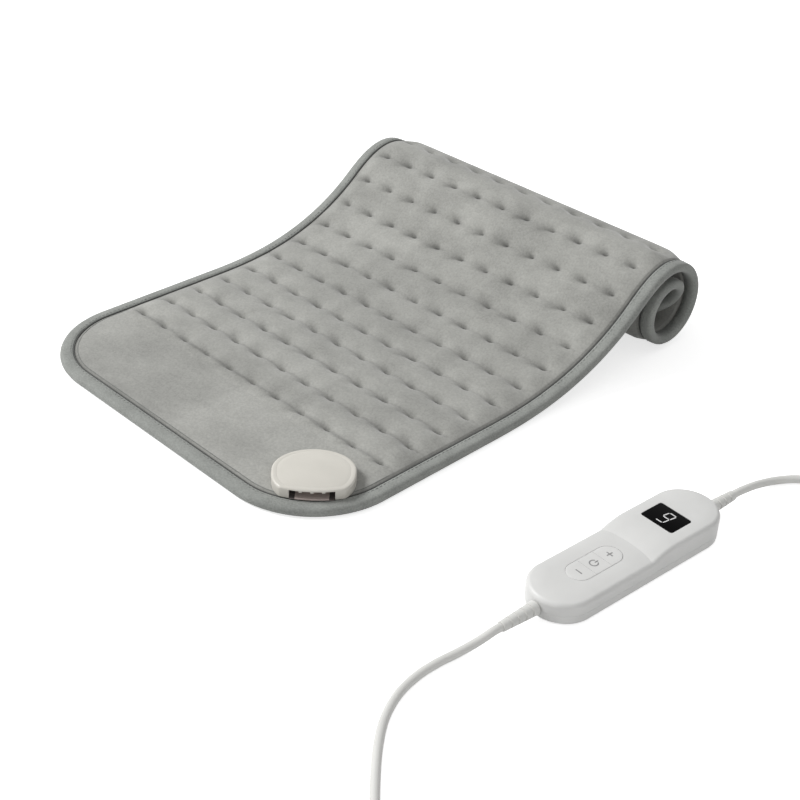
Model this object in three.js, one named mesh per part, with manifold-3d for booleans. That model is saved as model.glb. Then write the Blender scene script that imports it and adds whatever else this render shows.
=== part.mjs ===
// Heating pad with a plug-in controller, in millimetres, +Z up.
// The origin is on the pad's underside, on its centre line, under the first row of tufts.
// X runs across the pad, and Y along it, from the flat end with the socket to the rolled end.
import * as THREE from "three";
import { mergeVertices } from "three/addons/utils/BufferGeometryUtils.js";
import Module from "manifold-3d";

const wasm = await Module();
wasm.setup();

// Clearances shared by all pieces
const clearance = {
  seat: 0.3,
  running: 0.4,
  overrun: 3,
  floor: 0.1,
  weld: 0.001
};

// Pad outline and the thickness of its layers
const pad = {
  width: 300,
  length: 600,
  cornerRadius: 65
};
const backCover = {
  thickness: 2,
  edgeLift: 1,
  stepLength: 1.2
};
const felt = {
  thickness: 0.4,
  inset: 11.2
};
const heatingWire = {
  diameter: 1.5,
  sides: 4,
  edgeInset: 32,
  returnInset: 22,
  leadSpacing: 14,
  bendCut: 5,
  rowsPerRun: 2,
  runOffsetShare: 0.7,
  runs: 9
};
const topCover = {
  dimpleThickness: 1.4,
  ridgeThickness: 4.2,
  sideThickness: 4.6,
  puffThickness: 5.8,
  plainThickness: 2.2,
  edgeThickness: 3.6,
  riseLength: 6
};
const tuft = {
  firstRow: 85,
  quiltStart: 9,
  lastRow: 24.8,
  sideMargin: 25,
  rows: 20,
  columns: 11,
  openRows: 17
};
const binding = {
  width: 9,
  wall: 0.7,
  side: 2.2,
  rounding: 2.4,
  cheekInset: 0.7,
  cheekHeightShare: 0.2,
  channelRoom: 1.1,
  lipGap: 0.7,
  cornerSteps: 6
};

// The way the pad lies: flat, then rising, then rolled up
const roll = {
  flatLength: 165,
  riseLength: 150,
  riseSharpness: 1.4,
  layerGap: 2.4,
  coreRadius: 12,
  steepest: Math.PI / 3,
  profileSteps: 1200,
  solverSteps: 30
};

// Socket on the pad's corner
const socket = {
  radius: 26.2,
  backDepth: 22,
  frontReach: 25.6,
  frontDepth: 19.8,
  frontBow: 3,
  frontRoundness: 2.6,
  cornerOffset: 33.1,
  sideOffset: 2,
  wall: 2.2,
  wallHeight: 7.1,
  rounding: 1.7,
  crown: 0.9,
  crownOuterShare: 0.125,
  crownInnerShare: 0.25,
  grooveInset: 3.4,
  grooveWidth: 1.6,
  grooveDepth: 0.35,
  ringPoints: 28,
  backPointsShare: 0.45,
  sidePointsShare: 0.78,
  sideCrowdingShare: 0.75
};
const mouth = {
  width: 28,
  height: 4.6,
  floorThickness: 1,
  lipReach: 1,
  toothWidth: 2.2,
  toothHeight: 0.4,
  toothDepth: 1.4,
  toothPitch: 7,
  teeth: 3,
  depth: 17
};
const socketBase = {
  plateInset: 3,
  plateFront: 10,
  plateThickness: 1.3,
  bossInset: 7.3
};
const pinBlock = {
  width: 25,
  length: 9,
  height: 3.4
};
const contactPin = {
  count: 4,
  radius: 0.8,
  reach: 8,
  pitch: 6.2,
  sides: 10
};

// Controller housing
const housing = {
  length: 144.3,
  width: 42,
  lowHeight: 14.5,
  highHeight: 18.5,
  rampStart: 3,
  rampLength: 20,
  rampBow: 3,
  crown: 0.6,
  crownInset: 10,
  topRounding: 3.2,
  bottomRounding: 2.5,
  roundingSteps: 3,
  splitHeight: 6.5,
  wall: 1.8,
  arcSteps: 6,
  rampSteps: 5,
  centreX: 285.15,
  centreY: 41.96,
  turn: THREE.MathUtils.degToRad(-4)
};
const keypad = {
  length: 40,
  width: 16,
  endDistance: 45.5,
  keyPitch: 12.7,
  keyGap: 0.5,
  flangeReach: 1,
  flangeThickness: 1,
  proud: 0.15,
  travel: 0.6,
  pressGap: 0.1,
  arcSegments: 8
};
const tactSwitch = {
  width: 6,
  plungerRadius: 1.7,
  plungerHeight: 0.7,
  sides: 12
};
const displayWindow = {
  width: 24,
  length: 18.7,
  thickness: 1,
  cornerRadius: 1.8,
  cornerSegments: 3,
  endDistance: 38.2,
  sunk: 0.2
};
const displayModule = {
  width: 17,
  length: 12
};
const circuitBoard = {
  reliefGap: 6,
  sideRoom: 4.5,
  thickness: 1.6,
  ribHeight: 3.5,
  ribThickness: 1.6,
  ribOffset: 24
};
const caseScrew = {
  sideDistance: 8.5,
  endDistance: 22.5,
  headRadius: 2.6,
  headHeight: 1.5,
  headDepth: 0.8,
  shankRadius: 1.2,
  shankLength: 8,
  postRadius: 3.6,
  bossRadius: 3,
  sides: 12
};

// Cords with their strain reliefs, coils and ends
const cord = {
  diameter: 5.2,
  sides: 8,
  stepLength: 12,
  turnPitch: 5.7,
  innerRadius: 20.8,
  loopSteps: 20,
  coilSides: 6,
  tailLength: 25,
  tailSteps: 3
};
const strainRelief = {
  length: 26,
  rootRadius: 4.4,
  tipRadius: 3.2,
  neckRadius: 3.1,
  flangeRadius: 4,
  flangeThickness: 1.6,
  grooveDepth: 0.6,
  grooveWidth: 1.3,
  grooves: 4,
  sides: 12
};
const plug = {
  length: 25,
  faceHalfWidth: 12,
  halfHeight: 8.3,
  neckHalfWidthShare: 0.5,
  shoulderShare: 0.45,
  shoulderWidthShare: 0.94,
  chamfer: 1.1,
  squareness: 3.4,
  ringPoints: 20
};
const blade = {
  width: 6.3,
  thickness: 1.5,
  reach: 16,
  rooted: 7,
  spacing: 12.7
};
const connector = {
  length: 24,
  halfWidth: 16.5,
  halfHeight: 6.6,
  noseLength: 9.5,
  noseClearance: 0.4,
  boreClearance: 0.25,
  squareness: 3
};

// Routes of the two free cords, in this frame, from the strain relief's tip on
const mainsLeadPoints = [
  [277.1, -68, 5.3], [275.8, -75, 3.8], [273.9, -87, 2.8], [272.3, -98.3, 2.7], [272, -113, 2.7],
  [275, -130, 2.7], [283, -147.5, 2.7], [295, -163.5, 2.7], [309.5, -179, 2.7], [326, -195, 2.7],
  [345.5, -212.9, 2.7], [366, -231.6, 2.7]
];
const padLeadPoints = [
  [293.6, 157.5, 5.4], [295.2, 168, 3.9], [298.6, 178.5, 2.9], [305.5, 189.3, 2.7],
  [316, 198.8, 2.7], [328.6, 207.2, 2.7], [342.5, 216.1, 2.7]
];
const mainsCoil = {
  turnsPerLayer: 3.625,
  hand: 1
};
const padCoil = {
  turnsPerLayer: 2.125,
  hand: -1
};

// Heights of the layers above the surface that the flat part lies on
const feltBottom = backCover.thickness + clearance.seat;
const wireBottom = feltBottom + felt.thickness + clearance.seat;
const hollowTop = wireBottom + heatingWire.diameter + clearance.seat;
const coverEdgeTop = feltBottom + topCover.edgeThickness;
const plainTop = hollowTop + topCover.plainThickness;
const puffTop = hollowTop + topCover.puffThickness;
const neutralHeight = puffTop / 2;
const bindingHeight = coverEdgeTop + clearance.seat + binding.wall;
const bindingFloor = backCover.edgeLift - clearance.seat;
const coverInset = binding.side + binding.channelRoom;
const lipInset = binding.width + binding.lipGap;
const plateauInset = lipInset + topCover.riseLength;
const halfWidth = pad.width / 2;
const cornerX = halfWidth - pad.cornerRadius;
const rowPitch = (pad.length - tuft.firstRow - tuft.lastRow) / (tuft.rows - 1);
const columnPitch = (pad.width - 2 * tuft.sideMargin) / (tuft.columns - 1);

// Meshes and solids

function geometryOfTriangles(triangles) {
  const geometry = new THREE.BufferGeometry();
  const positions = triangles.flatMap((triangle) => triangle.flatMap((p) => [p.x, p.y, p.z]));
  geometry.setAttribute("position", new THREE.Float32BufferAttribute(positions, 3));
  return geometry;
}

function weld(source) {
  const geometry = source.index ? source.toNonIndexed() : source.clone();
  geometry.deleteAttribute("normal");
  geometry.deleteAttribute("uv");
  const welded = mergeVertices(geometry, clearance.weld);
  const index = welded.index.array;
  const kept = [];
  for (let i = 0; i < index.length; i += 3) {
    const [a, b, c] = [index[i], index[i + 1], index[i + 2]];
    if (a !== b && b !== c && c !== a) kept.push(a, b, c);
  }
  welded.setIndex(kept);
  return welded;
}

function solidOf(source) {
  const geometry = weld(source);
  return new wasm.Manifold(new wasm.Mesh({
    numProp: 3,
    vertProperties: Float32Array.from(geometry.attributes.position.array),
    triVerts: Uint32Array.from(geometry.index.array)
  }));
}

function geometryOf(solid) {
  const mesh = solid.getMesh();
  const geometry = new THREE.BufferGeometry();
  geometry.setAttribute("position", new THREE.BufferAttribute(Float32Array.from(mesh.vertProperties), 3));
  geometry.setIndex(Array.from(mesh.triVerts));
  return geometry;
}

function cut(base, ...tools) {
  let solid = solidOf(base);
  for (const tool of tools) solid = solid.subtract(solidOf(tool));
  return geometryOf(solid);
}

function join(...pieces) {
  let solid = solidOf(pieces[0]);
  for (const piece of pieces.slice(1)) solid = solid.add(solidOf(piece));
  return geometryOf(solid);
}

function overlap(base, other) {
  return geometryOf(solidOf(base).intersect(solidOf(other)));
}

function box(width, length, height, x, y, bottom) {
  return new THREE.BoxGeometry(width, length, height).translate(x, y, bottom + height / 2);
}

function prism(shape, bottom, top, curveSegments) {
  const geometry = new THREE.ExtrudeGeometry(shape, {
    depth: top - bottom,
    bevelEnabled: false,
    curveSegments
  });
  return geometry.translate(0, 0, bottom);
}

function cylinder(radius, bottom, top, x, y, sides) {
  return new THREE.CylinderGeometry(radius, radius, top - bottom, sides)
    .rotateX(Math.PI / 2)
    .translate(x, y, (bottom + top) / 2);
}

// Rings run the same way round, start at the middle of one side and mirror across their axis.
function stackRings(rings) {
  const triangles = [];
  const count = rings[0].length;
  const quad = (a, b, c, d) => triangles.push([a, b, c], [a, c, d]);
  for (let level = 1; level < rings.length; level++) {
    const [low, high] = [rings[level - 1], rings[level]];
    for (let i = 0; i < count; i++) {
      const next = (i + 1) % count;
      quad(low[i], low[next], high[next], high[i]);
    }
  }
  const top = rings[rings.length - 1];
  const bottom = rings[0];
  for (let k = 1; k <= count / 2; k++) {
    const before = (count - k + 1) % count;
    quad(top[k - 1], top[k], top[count - k], top[before]);
    quad(bottom[before], bottom[count - k], bottom[k], bottom[k - 1]);
  }
  return geometryOfTriangles(triangles);
}

// Tube with closed ends through points; the sides are placed square to the line and to up.
function sweptTube(points, radius, sides) {
  const up = new THREE.Vector3(0, 0, 1);
  const rings = points.map((point, i) => {
    const ahead = points[Math.min(i + 1, points.length - 1)];
    const behind = points[Math.max(i - 1, 0)];
    const tangent = ahead.clone().sub(behind).normalize();
    const across = tangent.clone().cross(up).normalize();
    const above = across.clone().cross(tangent);
    return Array.from({ length: sides }, (_, k) => {
      const angle = (2 * Math.PI * (k + 0.5)) / sides;
      return point.clone()
        .addScaledVector(across, radius * Math.cos(angle))
        .addScaledVector(above, radius * Math.sin(angle));
    });
  });
  const triangles = [];
  for (let i = 1; i < rings.length; i++) {
    for (let k = 0; k < sides; k++) {
      const next = (k + 1) % sides;
      triangles.push([rings[i - 1][k], rings[i][next], rings[i - 1][next]]);
      triangles.push([rings[i - 1][k], rings[i][k], rings[i][next]]);
    }
  }
  const last = rings[rings.length - 1];
  for (let k = 2; k < sides; k++) {
    triangles.push([rings[0][0], rings[0][k - 1], rings[0][k]]);
    triangles.push([last[0], last[k], last[k - 1]]);
  }
  return geometryOfTriangles(triangles);
}

// Route of the pad along its length

const turnPitch = puffTop + roll.layerGap;

function outerRadius(riseAngle) {
  const wound = pad.length - roll.flatLength - roll.riseLength;
  const linear = (turnPitch * riseAngle) / Math.PI;
  return Math.sqrt(linear ** 2 + roll.coreRadius ** 2 + (turnPitch * wound) / Math.PI) - linear;
}

function slopeAt(s, riseAngle) {
  const riseEnd = roll.flatLength + roll.riseLength;
  const radius = outerRadius(riseAngle);
  const crestLength = 2 * riseAngle * radius;
  if (s <= roll.flatLength) return 0;
  if (s <= riseEnd) return riseAngle * ((s - roll.flatLength) / roll.riseLength) ** roll.riseSharpness;
  if (s <= riseEnd + crestLength) return riseAngle * (1 - ((s - riseEnd) / crestLength) ** 2);
  const wound = s - riseEnd - crestLength;
  const radiusHere = Math.sqrt(radius ** 2 - (turnPitch * wound) / Math.PI);
  return (-2 * Math.PI * (radius - radiusHere)) / turnPitch;
}

// Lines across the pad at which it bends: each tuft row and each line midway between two rows,
// and twice as many in the core of the roll.
const halfPitch = rowPitch / 2;
const openEnd = tuft.firstRow + (tuft.openRows - 1) * rowPitch;
const bendLines = [];
for (let s = tuft.firstRow; s < openEnd + halfPitch / 2; s += halfPitch) {
  if (s > roll.flatLength - halfPitch) bendLines.push(s);
}
for (let s = openEnd + halfPitch / 2; s < pad.length; s += halfPitch / 2) bendLines.push(s);
bendLines.push(pad.length);

function profileAlong(riseAngle) {
  const step = pad.length / roll.profileSteps;
  const frames = [];
  let y = -tuft.firstRow;
  let z = neutralHeight;
  let s = 0;
  for (const line of bendLines) {
    const count = Math.ceil((line - s) / step);
    const part = (line - s) / count;
    for (let i = 0; i < count; i++) {
      const slope = slopeAt(s + part * (i + 0.5), riseAngle);
      y += part * Math.cos(slope);
      z += part * Math.sin(slope);
    }
    s = line;
    frames.push({ s: line, y, z, slope: slopeAt(line, riseAngle) });
  }
  return frames;
}

function lowestPoint(frames) {
  const reach = puffTop - neutralHeight;
  const rolled = frames.filter((frame) => frame.slope < 0);
  return Math.min(...rolled.map((frame) => frame.z + reach * Math.cos(frame.slope)));
}

// The rise is as steep as it must be for the roll to rest on the same surface as the flat part.
let gentle = 0;
let steep = roll.steepest;
for (let i = 0; i < roll.solverSteps; i++) {
  const angle = (gentle + steep) / 2;
  if (lowestPoint(profileAlong(angle)) < clearance.floor) gentle = angle;
  else steep = angle;
}
const padFrames = profileAlong(steep);

// Place on the lying pad of a point given across, along and above the pad laid flat
function padPlace(point) {
  const first = padFrames[0];
  if (point.y <= first.s) return new THREE.Vector3(point.x, point.y - tuft.firstRow, point.z);
  let i = 1;
  while (i < padFrames.length - 1 && padFrames[i].s < point.y) i++;
  const [a, b] = [padFrames[i - 1], padFrames[i]];
  const share = (point.y - a.s) / (b.s - a.s);
  const rise = point.z - neutralHeight;
  const yA = a.y - Math.sin(a.slope) * rise;
  const yB = b.y - Math.sin(b.slope) * rise;
  const zA = a.z + Math.cos(a.slope) * rise;
  const zB = b.z + Math.cos(b.slope) * rise;
  return new THREE.Vector3(point.x, yA + (yB - yA) * share, zA + (zB - zA) * share);
}

// Cuts a convex polygon along a line across the pad, into the parts below and above it.
function cutAcross(polygon, line, tolerance) {
  const parts = { below: [], above: [] };
  const side = (p) => (Math.abs(p.y - line) <= tolerance ? 0 : Math.sign(p.y - line));
  polygon.forEach((from, k) => {
    const to = polygon[(k + 1) % polygon.length];
    if (side(from) <= 0) parts.below.push(from);
    if (side(from) >= 0) parts.above.push(from);
    if (side(from) * side(to) < 0) {
      const [start, end] = from.y < to.y ? [from, to] : [to, from];
      const crossing = start.clone().lerp(end, (line - start.y) / (end.y - start.y));
      parts.below.push(crossing);
      parts.above.push(crossing);
    }
  });
  return parts;
}

// Cuts a flat solid's triangles at the bend lines, then lays each point on the pad's route.
function layOnPad(source) {
  const flat = weld(source);
  const tolerance = halfPitch / 100;
  const pieces = [];
  for (let i = 0; i < flat.index.count; i += 3) {
    const corners = [0, 1, 2].map((k) => flat.index.array[i + k]);
    const cornerAt = (corner) => new THREE.Vector3().fromBufferAttribute(flat.attributes.position, corner);
    let rest = corners.map(cornerAt);
    const low = Math.min(...rest.map((p) => p.y));
    const high = Math.max(...rest.map((p) => p.y));
    for (const line of bendLines) {
      if (line > low + tolerance && line < high - tolerance) {
        const parts = cutAcross(rest, line, tolerance);
        pieces.push(parts.below);
        rest = parts.above;
      }
    }
    pieces.push(rest);
  }
  const triangles = pieces.flatMap((piece) => piece.slice(2).map((p, k) => [piece[0], piece[k + 1], p]));
  return weld(geometryOfTriangles(triangles.map((triangle) => triangle.map(padPlace))));
}

// Half the width, at a place along the flat pad, of the outline drawn in by an inset
function outlineHalfWidth(s, inset) {
  const fromEnd = Math.min(s, pad.length - s);
  const along = Math.max(0, pad.cornerRadius - fromEnd);
  const radius = pad.cornerRadius - inset;
  return cornerX + Math.sqrt(Math.max(0, radius ** 2 - along ** 2));
}

// A layer's row is a list of places from its middle out to its edge, mirrored to the other side.
function mirrored(s, half) {
  const outward = half.map(([x, z]) => new THREE.Vector3(x, s, z));
  const inward = half.filter(([x]) => x > 0).map(([x, z]) => new THREE.Vector3(-x, s, z));
  return [...inward.reverse(), ...outward];
}

// Rows of like length are joined place to place, others by whichever diagonal is shorter.
function stitchRows(rows, up) {
  const triangles = [];
  const add = (a, b, c) => triangles.push(up ? [a, b, c] : [a, c, b]);
  for (let r = 1; r < rows.length; r++) {
    const [near, far] = [rows[r - 1], rows[r]];
    const alike = near.length === far.length;
    let i = 0;
    let j = 0;
    while (i < near.length - 1 || j < far.length - 1) {
      const nearGap = i < near.length - 1 ? near[i + 1].distanceTo(far[j]) : Infinity;
      const farGap = j < far.length - 1 ? far[j + 1].distanceTo(near[i]) : Infinity;
      if (alike && i !== j ? i < j : nearGap <= farGap) {
        add(near[i], near[i + 1], far[j]);
        i++;
      } else {
        add(near[i], far[j + 1], far[j]);
        j++;
      }
    }
  }
  return triangles;
}

function layerGeometry(topRows, underRows) {
  const triangles = [...stitchRows(topRows, true), ...stitchRows(underRows, false)];
  const quad = (a, b, c, d) => triangles.push([a, b, c], [a, c, d]);
  const last = topRows.length - 1;
  for (let r = 1; r <= last; r++) {
    const [topA, topB, underA, underB] = [topRows[r - 1], topRows[r], underRows[r - 1], underRows[r]];
    quad(topA.at(0), topB.at(0), underB.at(0), underA.at(0));
    quad(topB.at(-1), topA.at(-1), underA.at(-1), underB.at(-1));
  }
  const endFan = (top, under, far) => {
    const loop = [...under, ...[...top].reverse()];
    for (let k = 2; k < loop.length; k++) {
      triangles.push(far ? [loop[0], loop[k], loop[k - 1]] : [loop[0], loop[k - 1], loop[k]]);
    }
  };
  endFan(topRows[0], underRows[0], false);
  endFan(topRows[last], underRows[last], true);
  return geometryOfTriangles(triangles);
}

// Rows at a plain end of the pad, from its edge to where its corners end
const straightLines = bendLines.filter((s) => s > pad.cornerRadius && s < pad.length - pad.cornerRadius);

function endDistances(insets) {
  const arcSteps = binding.cornerSteps - 1;
  const innermost = insets.at(-1);
  const distances = [...insets];
  for (let step = 1; step <= arcSteps; step++) {
    const turn = (step * Math.PI) / 2 / arcSteps;
    distances.push(pad.cornerRadius - (pad.cornerRadius - innermost) * Math.cos(turn));
  }
  return distances;
}

// Rows at the rolled end are its bend lines and the insets' own rows.
function farRows(insets) {
  const edges = insets.map((inset) => pad.length - inset).reverse();
  const lines = bendLines.filter((s) => s > pad.length - pad.cornerRadius && s < edges[0] - halfPitch / 8);
  return [...lines, ...edges];
}

function allRows(insets) {
  return [...endDistances(insets), ...straightLines, ...farRows(insets)];
}

// Half row of a plain stretch: each height holds out to its own inset line, where that exists
function plainHalf(s, levels) {
  const fromEnd = Math.min(s, pad.length - s);
  return levels
    .filter((level) => level.inset <= fromEnd + clearance.floor / 2)
    .map((level) => [outlineHalfWidth(s, level.inset), level.height]);
}

function topCoverFlat() {
  const topLevels = [
    { inset: plateauInset, height: plainTop },
    { inset: lipInset, height: coverEdgeTop },
    { inset: coverInset, height: coverEdgeTop }
  ];
  const underLevels = [
    { inset: plateauInset, height: hollowTop },
    { inset: coverInset, height: feltBottom }
  ];
  const dimple = hollowTop + topCover.dimpleThickness;
  const ridge = hollowTop + topCover.ridgeThickness;
  const side = hollowTop + topCover.sideThickness;
  const lastTuft = halfWidth - tuft.sideMargin;
  const sideX = (halfWidth - lipInset + lastTuft) / 2;
  const edge = [
    [halfWidth - lipInset, coverEdgeTop],
    [halfWidth - coverInset, coverEdgeTop]
  ];
  const tuftHalf = (onRow) => {
    const places = [];
    for (let x = 0; x < lastTuft + columnPitch / 4; x += columnPitch / 2) {
      const onTuft = Math.round((2 * (lastTuft - x)) / columnPitch) % 2 === 0;
      if (onRow) places.push([x, onTuft ? dimple : ridge]);
      else if (!onTuft) places.push([x, puffTop]);
    }
    places.push([sideX, onRow ? (dimple + side) / 2 : side]);
    return [...places, ...edge];
  };
  const insets = [coverInset, lipInset, plateauInset];
  const topRows = [];
  const underRows = [];
  const addPlain = (s) => {
    topRows.push(mirrored(s, plainHalf(s, topLevels)));
    underRows.push(mirrored(s, plainHalf(s, underLevels)));
  };
  [...endDistances(insets), tuft.firstRow - tuft.quiltStart].forEach(addPlain);
  const openLines = 2 * (tuft.openRows - 1);
  for (let k = 0; k <= openLines; k++) {
    const s = tuft.firstRow + k * halfPitch;
    topRows.push(mirrored(s, tuftHalf(k % 2 === 0)));
    underRows.push(mirrored(s, plainHalf(s, underLevels)));
  }
  straightLines.filter((s) => s > openEnd + halfPitch / 4).forEach(addPlain);
  farRows(insets).forEach(addPlain);
  return layerGeometry(topRows, underRows);
}

function backCoverFlat() {
  const topLevels = [{ inset: coverInset, height: backCover.thickness }];
  const underLevels = [
    { inset: lipInset + backCover.stepLength, height: 0 },
    { inset: lipInset, height: backCover.edgeLift },
    { inset: coverInset, height: backCover.edgeLift }
  ];
  const distances = allRows([coverInset, lipInset, lipInset + backCover.stepLength]);
  return layerGeometry(
    distances.map((s) => mirrored(s, plainHalf(s, topLevels))),
    distances.map((s) => mirrored(s, plainHalf(s, underLevels)))
  );
}

function feltFlat() {
  const distances = allRows([felt.inset]);
  const rowAt = (s, height) => mirrored(s, plainHalf(s, [{ inset: felt.inset, height }]));
  const rowsAt = (height) => distances.map((s) => rowAt(s, height));
  return layerGeometry(rowsAt(feltBottom + felt.thickness), rowsAt(feltBottom));
}

// Binding: a folded strip round the pad's edge, open on the inside where the covers go in
function bindingFlat() {
  const insideTop = coverEdgeTop + clearance.seat;
  const cheekHeight = bindingHeight * binding.cheekHeightShare;
  const section = [
    [binding.width, bindingFloor],
    [binding.side, bindingFloor],
    [binding.side, insideTop],
    [binding.width, insideTop],
    [binding.width, bindingHeight],
    [binding.rounding, bindingHeight],
    [binding.cheekInset, bindingHeight - cheekHeight],
    [0, bindingHeight / 2],
    [binding.cheekInset, cheekHeight],
    [binding.rounding, 0],
    [binding.width, 0]
  ];
  const straight = [pad.cornerRadius, ...straightLines, pad.length - pad.cornerRadius];
  const straightHalf = pad.length / 2 - pad.cornerRadius;
  const places = [];
  const addCorner = (signX, signY) => {
    for (let step = 1; step < binding.cornerSteps; step++) {
      const turn = (step * Math.PI) / 2 / binding.cornerSteps;
      const angle = signX * signY > 0 ? turn : Math.PI / 2 - turn;
      places.push((inset) => {
        const radius = pad.cornerRadius - inset;
        const along = straightHalf + radius * Math.sin(angle);
        return [signX * (cornerX + radius * Math.cos(angle)), pad.length / 2 + signY * along];
      });
    }
  };
  places.push((inset) => [cornerX, inset]);
  addCorner(1, -1);
  for (const s of straight) places.push((inset) => [halfWidth - inset, s]);
  addCorner(1, 1);
  places.push((inset) => [cornerX, pad.length - inset]);
  places.push((inset) => [-cornerX, pad.length - inset]);
  addCorner(-1, 1);
  for (const s of [...straight].reverse()) places.push((inset) => [inset - halfWidth, s]);
  addCorner(-1, -1);
  places.push((inset) => [-cornerX, inset]);
  const rings = places.map((place) => section.map(([inset, z]) => {
    const [x, y] = place(inset);
    return new THREE.Vector3(x, y, z);
  }));
  const triangles = [];
  rings.forEach((ring, i) => {
    const next = rings[(i + 1) % rings.length];
    ring.forEach((_, k) => {
      const l = (k + 1) % ring.length;
      triangles.push([ring[k], next[l], next[k]], [ring[k], ring[l], next[l]]);
    });
  });
  return geometryOfTriangles(triangles);
}

// Socket: places are given forwards, towards the pad's corner, and sideways

const socketAxis = new THREE.Vector3(1, -1, 0).normalize();
const socketX = cornerX + socket.cornerOffset * socketAxis.x - socket.sideOffset * socketAxis.y;
const socketS = pad.cornerRadius + socket.cornerOffset * socketAxis.y + socket.sideOffset * socketAxis.x;
const socketTurn = -Math.PI / 4;

function socketRing(inset, height) {
  const half = socket.ringPoints / 2;
  const ring = [];
  const sideAt = (forward) => {
    const reach = forward < 0 ? socket.backDepth - inset : socket.frontReach - inset;
    const power = forward < 0 ? 2 : socket.frontRoundness;
    return (socket.radius - inset) * (1 - (Math.abs(forward) / reach) ** power) ** (1 / power);
  };
  const front = socket.frontDepth - inset;
  const frontSide = sideAt(front);
  for (let k = 0; k < socket.ringPoints; k++) {
    const fromBack = Math.min(k, socket.ringPoints - k) / half;
    const sideSign = k <= half ? 1 : -1;
    const backPart = socket.backPointsShare;
    const sidePart = socket.sidePointsShare;
    let forward = 0;
    let sideways = 0;
    if (fromBack < backPart) {
      const angle = (fromBack / backPart) * (Math.PI / 2);
      forward = -(socket.backDepth - inset) * Math.cos(angle);
      sideways = (socket.radius - inset) * Math.sin(angle);
    } else if (fromBack < sidePart) {
      forward = front * ((fromBack - backPart) / (sidePart - backPart)) ** socket.sideCrowdingShare;
      sideways = sideAt(forward);
    } else {
      const share = (1 - fromBack) / (1 - sidePart);
      sideways = frontSide * share;
      forward = front + socket.frontBow * (1 - share ** 2);
    }
    ring.push(new THREE.Vector3(forward, -sideSign * sideways, height));
  }
  return ring;
}

function onSocket(geometry) {
  return geometry.rotateZ(socketTurn).translate(socketX, socketS, 0);
}

function socketPrism(inset, bottom, top) {
  return stackRings([socketRing(inset, bottom), socketRing(inset, top)]);
}

const socketRim = plainTop + clearance.seat;
const mouthFloorTop = socketRim + clearance.seat + mouth.floorThickness;
const mouthRoof = mouthFloorTop + mouth.height;
const socketTop = socketRim + socket.wallHeight;
const mouthInside = socket.frontDepth + socket.frontBow - mouth.depth;

function socketCover() {
  const rounding = socket.rounding;
  const groove = socket.grooveInset;
  const outer = stackRings([
    socketRing(0, socketRim),
    socketRing(0, socketTop - rounding),
    socketRing(rounding * (1 - Math.cos(Math.PI / 4)), socketTop - rounding * (1 - Math.sin(Math.PI / 4))),
    socketRing(rounding, socketTop),
    socketRing(groove, socketTop + socket.crown * socket.crownOuterShare),
    socketRing(groove + socket.grooveWidth / 2, socketTop - socket.grooveDepth),
    socketRing(groove + socket.grooveWidth, socketTop + socket.crown * socket.crownInnerShare),
    socketRing(socket.radius / 2, socketTop + socket.crown)
  ]);
  const hollow = stackRings([
    socketRing(socket.wall, socketRim - clearance.overrun),
    socketRing(socket.wall, mouthRoof - clearance.seat)
  ]);
  const opening = new THREE.Shape();
  opening.moveTo(mouth.width / 2, socketRim - clearance.overrun);
  opening.lineTo(mouth.width / 2, mouthRoof);
  for (let tooth = mouth.teeth; tooth > 0; tooth--) {
    const middle = (tooth - (mouth.teeth + 1) / 2) * mouth.toothPitch;
    opening.lineTo(middle + mouth.toothWidth / 2, mouthRoof);
    opening.lineTo(middle + mouth.toothWidth / 4, mouthRoof - mouth.toothHeight);
    opening.lineTo(middle - mouth.toothWidth / 4, mouthRoof - mouth.toothHeight);
    opening.lineTo(middle - mouth.toothWidth / 2, mouthRoof);
  }
  opening.lineTo(-mouth.width / 2, mouthRoof);
  opening.lineTo(-mouth.width / 2, socketRim - clearance.overrun);
  const frontDepth = mouth.toothDepth + mouth.depth;
  const front = new THREE.ExtrudeGeometry(opening, { depth: frontDepth, bevelEnabled: false })
    .rotateX(Math.PI / 2)
    .rotateZ(Math.PI / 2)
    .translate(socket.frontDepth + socket.frontBow - mouth.toothDepth, 0, 0);
  const throatLength = mouth.depth - mouth.toothDepth + clearance.floor;
  const throat = box(throatLength, mouth.width, mouthRoof - socketRim + clearance.overrun,
    mouthInside + throatLength / 2, 0, socketRim - clearance.overrun);
  return onSocket(cut(outer, hollow, front, throat));
}

function socketBaseSolid() {
  const plateTop = wireBottom + socketBase.plateThickness;
  const plate = overlap(
    socketPrism(socketBase.plateInset, wireBottom, plateTop),
    box(2 * socket.radius, 2 * socket.radius, 2 * plateTop, socketBase.plateFront - socket.radius, 0, 0)
  );
  const boss = socketPrism(socketBase.bossInset, wireBottom, mouthFloorTop);
  const tongueWidth = mouth.width - 2 * clearance.seat;
  const tongue = overlap(
    socketPrism(-mouth.lipReach, mouthFloorTop - mouth.floorThickness, mouthFloorTop),
    box(socket.frontReach, tongueWidth, mouthFloorTop, socket.frontReach / 2, 0, mouthFloorTop / 2)
  );
  return onSocket(join(plate, boss, tongue));
}

function socketHole() {
  return onSocket(socketPrism(socketBase.bossInset - clearance.seat, 0, plainTop + clearance.overrun));
}

const pinBlockBottom = mouthFloorTop + clearance.seat;
const pinBlockFront = mouthInside - clearance.seat;
const pinHeight = pinBlockBottom + pinBlock.height / 2;

function pinPlaces() {
  const middle = (contactPin.count - 1) / 2;
  return Array.from({ length: contactPin.count }, (_, i) => (i - middle) * contactPin.pitch);
}

function pinRod(radius, from, to, sideways, height) {
  return new THREE.CylinderGeometry(radius, radius, to - from, contactPin.sides)
    .rotateZ(-Math.PI / 2)
    .translate((from + to) / 2, sideways, height);
}

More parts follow.
